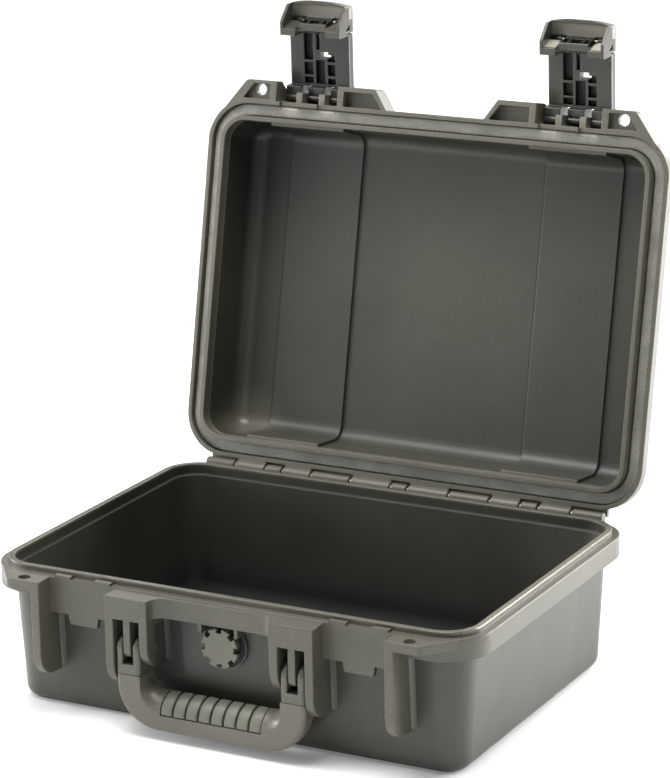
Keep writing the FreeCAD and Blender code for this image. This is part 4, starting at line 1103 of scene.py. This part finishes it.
@dataclass
class Finishes:
    """The finishes of the case, made once and shared."""

    shell: MouldedPlastic = MouldedPlastic(
        "shell_plastic", (0.0760, 0.0730, 0.0565),
        regions=(
            BASE_TUB_SHADE, BASE_FLOOR_SHADE, RIM_FACE_HIGHLIGHT, RIM_RIGHT_HIGHLIGHT, FRONT_LINE, BACK_WALL_SHEEN, LOW_LEFT_LIGHT,
            RECESS_SHADOW,
        ),
    )
    lid: MouldedPlastic = MouldedPlastic(
        "lid_plastic", (0.100, 0.096, 0.074),
        regions=(LID_TUB, *ROOF_LIGHT_AND_SHADE, *LATCH_LUGS, *ROOF_STEP_SHADE),
        swing=Swing(),
    )
    latch: MouldedPlastic = MouldedPlastic(
        "latch_plastic", (0.024, 0.023, 0.018), roughness=0.24, grain_depth=0.02 * MM, clouding=0.08,
        regions=LATCH_LIGHT_AND_SHADE,
    )
    paddle: MouldedPlastic = MouldedPlastic(
        "paddle_plastic", (0.052, 0.050, 0.041), roughness=0.22, grain_depth=0.02 * MM, clouding=0.08,
        regions=PADDLE_LIGHT_AND_SHADE,
    )
    core: MouldedPlastic = MouldedPlastic(
        "core_plastic", (0.084, 0.081, 0.064), roughness=0.26, grain_depth=0.015 * MM, clouding=0.08,
    )
    bow: MouldedPlastic = MouldedPlastic(
        "bow_plastic", (0.110, 0.105, 0.081), roughness=0.38, grain_depth=0.035 * MM,
    )
    grip: MouldedPlastic = MouldedPlastic(
        "grip_rubber", (0.130, 0.129, 0.102), roughness=0.42, grain_scale=1500.0, grain_depth=0.05 * MM,
        groove_shade=0.8,
    )
    vent: MouldedPlastic = MouldedPlastic(
        "vent_plastic", (0.118, 0.115, 0.088), roughness=0.36, grain_depth=0.03 * MM,
    )
    # Nearly black: the vent's own dark plastic, made darker still as painted shade of the recess behind the
    # cap
    vent_inner_and_shade: MouldedPlastic = MouldedPlastic(
        "vent_body_plastic_and_shade", (0.030, 0.029, 0.024), roughness=0.34, grain_depth=0.03 * MM,
    )
    sponge: SpongeRubber = SpongeRubber("sponge_cord", (0.285, 0.28, 0.25), regions=CORD_NOTCH_GLINTS)
    # Black rubber, its darkness partly painted shade of the recess behind the cap
    seal: SpongeRubber = SpongeRubber(
        "seal_rubber", (0.02, 0.02, 0.02), pore_scale=2200.0, pore_depth=0.03 * MM,
    )
    film: ThinFilm = ThinFilm("vent_film")
    pin: BrushedSteel = BrushedSteel("pin_steel")
    spring: BrushedSteel = BrushedSteel("spring_steel", (0.58, 0.57, 0.54), roughness=0.28)


@dataclass
class BaseGroup(Assembly):
    """The moulded base and its hinge pins."""

    hinge_pins: Tuple[str, ...] = ("hinge_pin_left", "hinge_pin_center", "hinge_pin_right")

    def build(self, finishes: Finishes, steel: bpy.types.Material) -> None:
        """Dress the base.

        Args:
            finishes: The finishes of the case.
            steel: Finish of the pins.
        """
        self.dress("base_shell", finishes.shell.material())
        for pin in self.hinge_pins:
            self.dress(pin, steel)


@dataclass
class LidGroup(Assembly):
    """The lid, its sponge cord and the pins of the latches.

    The cord follows the groove of the shut lid and is then swung open with it.
    """

    opening: Pair = (381.0 * MM, 270.0 * MM)
    corner_radius: float = 24.0 * MM
    groove_offset: float = 2.7 * MM
    cord_width: float = 9.0 * MM
    cord_height: float = 3.0 * MM
    cord_low: float = 112.3 * MM
    cord_squareness: float = 3.4
    corner_steps: int = 28
    section_steps: int = 28

    def path(self) -> Tuple[np.ndarray, np.ndarray]:
        """Middle line of the groove.

        Four quarter circles, each turning from one side to the next about its own
        centre; the straight runs join them.

        Returns:
            Points of the line and the outward direction at each, rows of X and Y.
        """
        half = np.array(self.opening) / 2 - self.corner_radius
        radius = self.corner_radius + self.groove_offset
        quarter = np.arange(4)[:, None] * (np.pi / 2)
        angle = quarter + np.linspace(0, np.pi / 2, self.corner_steps)[None, :]
        sign_x = np.sign(np.cos(quarter + np.pi / 4))
        sign_y = np.sign(np.sin(quarter + np.pi / 4))
        outward = np.stack([np.cos(angle), np.sin(angle)], axis=-1)
        centre = np.stack([sign_x * half[0], sign_y * half[1]], axis=-1)
        points = centre + outward * radius
        return points.reshape(-1, 2), outward.reshape(-1, 2)

    def cord(self) -> bpy.types.Object:
        """Sponge cord in the groove.

        The section is a superellipse as wide and high as the cord. Each point goes out
        from the middle line by u and up by v.

        Returns:
            The cord.
        """
        line, outward = self.path()
        u, v = superellipse(self.cord_squareness, self.section_steps)
        flat = line[:, None, :] + outward[:, None, :] * (u * self.cord_width / 2)[None, :, None]
        level = self.cord_low + self.cord_height / 2 * (1 + v)
        z = np.broadcast_to(level[None, :], flat.shape[:2])
        points = np.concatenate([flat, z[..., None]], axis=-1).reshape(-1, 3)
        quads = grid_faces(len(line), self.section_steps, True, True)
        return mesh_object("sponge_cord", self.swing(points), quads)

    def swing(self, points: np.ndarray) -> np.ndarray:
        """Turn points of the shut lid about the hinge to the open lid.

        Y and Z turn by the open angle about the hinge: y' = c y + s z, z' = c z - s y.

        Args:
            points: Points of the shut lid.

        Returns:
            Points of the open lid.
        """
        c, s = math.cos(OPEN_ANGLE), math.sin(OPEN_ANGLE)
        y, z = points[:, 1] - HINGE[0], points[:, 2] - HINGE[1]
        return np.stack([points[:, 0], HINGE[0] + c * y + s * z, HINGE[1] + c * z - s * y], axis=1)

    def build(self, finishes: Finishes, steel: bpy.types.Material) -> None:
        """Dress the lid and make its cord.

        Args:
            finishes: The finishes of the case.
            steel: Finish of the pins.
        """
        self.dress("lid_shell", finishes.lid.material())
        self.dress("latch_pin_left", steel)
        self.dress("latch_pin_right", steel)
        self.add(self.cord(), Body.LID, "gasket", "lid_gasket", finishes.sponge.material())


@dataclass
class CarryHandle(Assembly):
    """The drop handle: core, bow, ribbed grip and pins."""

    front: float = -161.0 * MM
    thickness: float = 16.5 * MM
    grip_low: float = 20.3 * MM
    grip_rise: float = 14.8 * MM
    rib_count: int = 8
    rib_pitch: float = 10.5 * MM
    groove_half: float = 0.42 * MM
    shoulder: float = 0.75 * MM
    groove_depth: float = 1.25 * MM
    crown: float = 0.25 * MM
    skin: float = 2.6 * MM
    end_clear: float = 0.5 * MM
    foot_clear: float = 0.5 * MM
    steps_along: int = 401
    steps_round: int = 40

    def ribs(self, x: np.ndarray) -> np.ndarray:
        """How far the sleeve is sunk at each place along it.

        A groove lies between each pair of ribs, with rounded shoulders, and each rib
        has a low crown: crown (2 d / pitch)^2, where d is the distance from its middle.

        Args:
            x: Places along the bar.

        Returns:
            Depth below the outer form.
        """
        half = self.rib_count * self.rib_pitch / 2
        phase = (x + half) / self.rib_pitch
        from_groove = np.abs(phase - np.round(phase)) * self.rib_pitch
        inner = np.abs(x) < half - self.rib_pitch / 2
        groove = (1 - smooth_step(from_groove, self.groove_half, self.groove_half + self.shoulder)) * inner
        from_middle = np.abs(phase - np.floor(phase) - 0.5) * 2
        return groove * self.groove_depth + self.crown * from_middle ** 2

    def grip(self) -> bpy.types.Object:
        """Ribbed sleeve over the bar.

        Its section is a quarter ellipse, y = back - T cos t and z = low + R sin t,
        sunk along the ellipse's normal by the ribs, and an inner curve one skin below.

        Returns:
            The sleeve.
        """
        back = self.front + self.thickness
        half = self.rib_count * self.rib_pitch / 2 - self.end_clear
        x = np.linspace(-half, half, self.steps_along)[:, None]
        foot = math.asin(self.foot_clear / self.grip_rise)
        t = np.linspace(foot, np.pi / 2, self.steps_round)[None, :]
        normal_y = -np.cos(t) / self.thickness
        normal_z = np.sin(t) / self.grip_rise
        length = np.hypot(normal_y, normal_z)
        normal_y, normal_z = normal_y / length, normal_z / length
        y = back - self.thickness * np.cos(t)
        z = self.grip_low + self.grip_rise * np.sin(t)
        from_end = half - np.abs(x)
        from_foot = (t - foot) * self.grip_rise
        risen = smooth_step(from_end, 0.0, self.shoulder) + smooth_step(from_foot, 0.0, self.shoulder)
        rounded = self.shoulder * (2 - risen)
        sunk = np.maximum(self.ribs(x) + 0 * t, rounded)
        outer, inner = (
            np.stack([x + 0 * t, y - normal_y * below, z - normal_z * below], axis=-1)
            for below in (sunk, np.full_like(sunk, self.skin))
        )
        loop = np.concatenate([outer, inner[:, ::-1]], axis=1)
        rows, columns = loop.shape[:2]
        quads = np.concatenate([grid_faces(rows, columns, False, True), strip_caps(rows, columns)])
        made = mesh_object("ribbed_grip", loop.reshape(-1, 3), quads)
        depth = np.clip(np.concatenate([sunk, sunk[:, ::-1]], axis=1) / self.groove_depth, 0, 1)
        carried = made.data.attributes.new("depth", "FLOAT", "POINT")
        carried.data.foreach_set("value", depth.astype(np.float32).ravel())
        return made

    def build(self, finishes: Finishes, steel: bpy.types.Material) -> None:
        """Dress the handle and make its grip.

        Args:
            finishes: The finishes of the case.
            steel: Finish of the pins.
        """
        self.dress("handle_core", finishes.core.material())
        self.dress("handle_bow", finishes.bow.material())
        self.dress("handle_pin_left", steel)
        self.dress("handle_pin_right", steel)
        self.add(self.grip(), Body.HANDLE, "grip", "handle_grip", finishes.grip.material())


@dataclass
class VentValve(Assembly):
    """The pressure vent in the front wall."""

    inset: float = 0.05 * MM
    stem: float = 7.06 * MM
    seal_squareness: float = 5.0
    seal_steps: int = 40
    seal_sides: int = 96
    dome: float = 0.25 * MM
    pinhole_share: float = 0.02
    disc_rings: int = 16
    disc_sides: int = 64

    def outline(self, node: str) -> Tuple[Pair, float, Pair]:
        """Place and size of a round CAD piece of the vent.

        Args:
            node: Name of the CAD piece.

        Returns:
            X and Z of its axis, its radius less the inset, and its front and back.
        """
        low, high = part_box(node)
        middle = ((low.x + high.x) / 2, (low.z + high.z) / 2)
        return middle, (high.x - low.x) / 2 - self.inset, (low.y, high.y)

    def seal(self) -> bpy.types.Object:
        """Ring seal between the vent and the wall.

        Its section is a superellipse from the stem of the vent to the rim of the CAD
        ring, turned round the axis of the vent.

        Returns:
            The ring.
        """
        middle, outer, (front, back) = self.outline("vent_seal")
        inner = self.stem + self.inset
        u, v = superellipse(self.seal_squareness, self.seal_steps)
        r = (outer + inner) / 2 + u * (outer - inner) / 2
        y = (front + back) / 2 + v * ((back - front) / 2 - self.inset)
        return revolved("vent_ring_seal", middle, np.stack([r, y], axis=1), self.seal_sides)

    def membrane(self) -> bpy.types.Object:
        """Membrane disc, bulged a little to the front.

        The front face is y = front + dome (r / R)^2 and the back face is plain; a
        pinhole on the axis keeps the turned grid regular.

        Returns:
            The disc.
        """
        middle, radius, (front, back) = self.outline("vent_membrane")
        r = np.linspace(self.pinhole_share * radius, radius, self.disc_rings)
        bulged = front + self.inset + self.dome * (r / radius) ** 2
        plain = np.full_like(r, back - self.inset)
        profile = np.concatenate([np.stack([r, bulged], 1), np.stack([r[::-1], plain], 1)])
        return revolved("vent_membrane_disc", middle, profile, self.disc_sides)

    def build(self, finishes: Finishes) -> None:
        """Dress the vent and make its soft pieces.

        Args:
            finishes: The finishes of the case.
        """
        plastic = finishes.vent.material()
        inner = finishes.vent_inner_and_shade.material()
        self.dress("vent_cap", plastic)
        self.dress("vent_body", inner)
        self.dress("vent_nut", inner)
        self.add(self.seal(), Body.BASE, "seal", "vent_seal", finishes.seal.material())
        self.add(self.membrane(), Body.BASE, "membrane", "vent_membrane", finishes.film.material())


@dataclass
class LatchPair(Assembly):
    """The two raised latches with their paddles, pins and springs."""

    sides: Tuple[str, ...] = ("left", "right")

    def build(self, finishes: Finishes, steel: bpy.types.Material) -> None:
        """Dress both latches.

        Args:
            finishes: The finishes of the case.
            steel: Finish of the pins.
        """
        body = finishes.latch.material()
        paddle = finishes.paddle.material()
        spring = finishes.spring.material()
        for side in self.sides:
            self.dress("latch_body_" + side, body)
            self.dress("latch_button_" + side, paddle)
            self.dress("latch_button_pin_" + side, steel)
            self.dress("latch_spring_" + side, spring)


@dataclass(frozen=True)
class SoftLight:
    """A rectangular soft box.

    Args:
        name: Name of the light.
        place: Middle of the box.
        aim: Point that it faces.
        size: Width and height.
        radiance: Brightness of its face.
    """

    name: str
    place: Triple
    aim: Triple
    size: Pair
    radiance: float

    def build(self) -> None:
        """Make the light: its power is pi times its face times its brightness."""
        data = bpy.data.lights.new(self.name, "AREA")
        data.shape = "RECTANGLE"
        data.size, data.size_y = self.size
        data.energy = math.pi * self.size[0] * self.size[1] * self.radiance
        made = placed(self.name, data)
        made.location = self.place
        made.rotation_euler = (Vector(self.aim) - Vector(self.place)).to_track_quat("-Z", "Y").to_euler()


@dataclass
class Studio:
    """Floor, lights, surroundings and camera."""

    floor_half: float = 9.0
    sky: Colour = (0.12, 0.12, 0.12)
    lights: Tuple[SoftLight, ...] = (
        SoftLight("overhead", (0.0, 0.0, 2.6), CASE_MIDDLE, (1.8, 1.8), 8.93),
        SoftLight("front_left", (-1.4, -2.4, 1.2), CASE_MIDDLE, (1.6, 1.2), 1.11),
        SoftLight("left", (-2.6, -0.2, 1.0), CASE_MIDDLE, (1.6, 1.4), 4.29),
        SoftLight("front_low", (0.6, -2.9, 0.45), CASE_MIDDLE, (1.8, 0.7), 1.26),
        SoftLight("left_top", (-1.3, -1.3, 2.2), CASE_MIDDLE, (1.2, 1.2), 1.1),
        SoftLight("left_low", (-2.6, -0.8, 0.4), CASE_MIDDLE, (1.6, 0.7), 8.5),
        SoftLight("near_right_back", (0.95, 0.75, 0.3), CASE_MIDDLE, (0.6, 0.5), 23.98),
        SoftLight("near_left", (-1.0, -0.45, 0.25), (-0.2, -0.1, 0.05), (0.5, 0.3), 5.0),
        SoftLight("near_top_left", (-0.5, -0.4, 1.3), CASE_MIDDLE, (0.6, 0.6), 5.29),
        SoftLight("rim_glint", (0.9, 2.6, 1.3), CASE_MIDDLE, (1.4, 1.4), 9.0),
        SoftLight("floor_back", (-1.5, 4.5, 3.0), (-1.5, 4.5, 0.0), (5.0, 3.0), 3.2),
    )
    azimuth: float = math.radians(27.98)
    elevation: float = math.radians(16.01)
    roll: float = math.radians(-0.89)
    distance: float = 2.44034
    target: Triple = (0.02118, 0.0, 0.23377)
    lens: float = 151.8
    sensor: float = 36.0
    clip: Pair = (0.1, 60.0)

    def floor(self) -> None:
        """Flat square floor at the height on which the case stands."""
        side = np.array([-self.floor_half, self.floor_half])
        x, y = np.meshgrid(side, side)
        points = np.stack([x.ravel(), y.ravel(), np.zeros(4)], axis=1)
        mesh = bpy.data.meshes.new("floor")
        mesh.from_pydata(points.tolist(), [], [(0, 1, 3, 2)])
        mesh.materials.append(PaleFloor().material())
        placed("floor", mesh)

    def surroundings(self) -> None:
        """Even dim surroundings."""
        world = bpy.data.worlds.new("surroundings")
        world.use_nodes = True
        world.node_tree.nodes["Background"].inputs["Color"].default_value = opaque(self.sky)
        bpy.context.scene.world = world

    def camera(self) -> None:
        """Camera at the angle of the photograph.

        The camera looks at the target from the azimuth and elevation, and rolls about
        its own line of sight.
        """
        a, e, r = self.azimuth, self.elevation, self.roll
        back = Vector((math.sin(a) * math.cos(e), -math.cos(a) * math.cos(e), math.sin(e)))
        level = Vector((math.cos(a), math.sin(a), 0.0))
        upright = back.cross(level)
        right = level * math.cos(r) + upright * math.sin(r)
        up = upright * math.cos(r) - level * math.sin(r)
        data = bpy.data.cameras.new("camera")
        data.lens = self.lens
        data.sensor_width = self.sensor
        data.clip_start, data.clip_end = self.clip
        made = placed("camera", data)
        turn = Matrix((right, up, back)).transposed().to_4x4()
        made.matrix_world = Matrix.Translation(Vector(self.target) + back * self.distance) @ turn
        bpy.context.scene.camera = made

    def build(self) -> None:
        """Set up the studio."""
        self.floor()
        self.surroundings()
        for light in self.lights:
            light.build()
        self.camera()
        bpy.context.scene.view_settings.view_transform = "Standard"


def main() -> None:
    """Build the groups in order and report their pieces."""
    logging.basicConfig(level=logging.INFO, format="%(name)s: %(message)s")
    finishes = Finishes()
    steel = finishes.pin.material()
    base, lid, handle = BaseGroup(), LidGroup(), CarryHandle()
    for group in (base, lid, handle):
        group.build(finishes, steel)
    vent, latches = VentValve(), LatchPair()
    vent.build(finishes)
    latches.build(finishes, steel)
    Studio().build()
    made = [piece.name for group in (base, lid, handle, vent, latches) for piece in group.made]
    LOG.info("new pieces: %s", ", ".join(made))


if __name__ == "__main__":
    main()
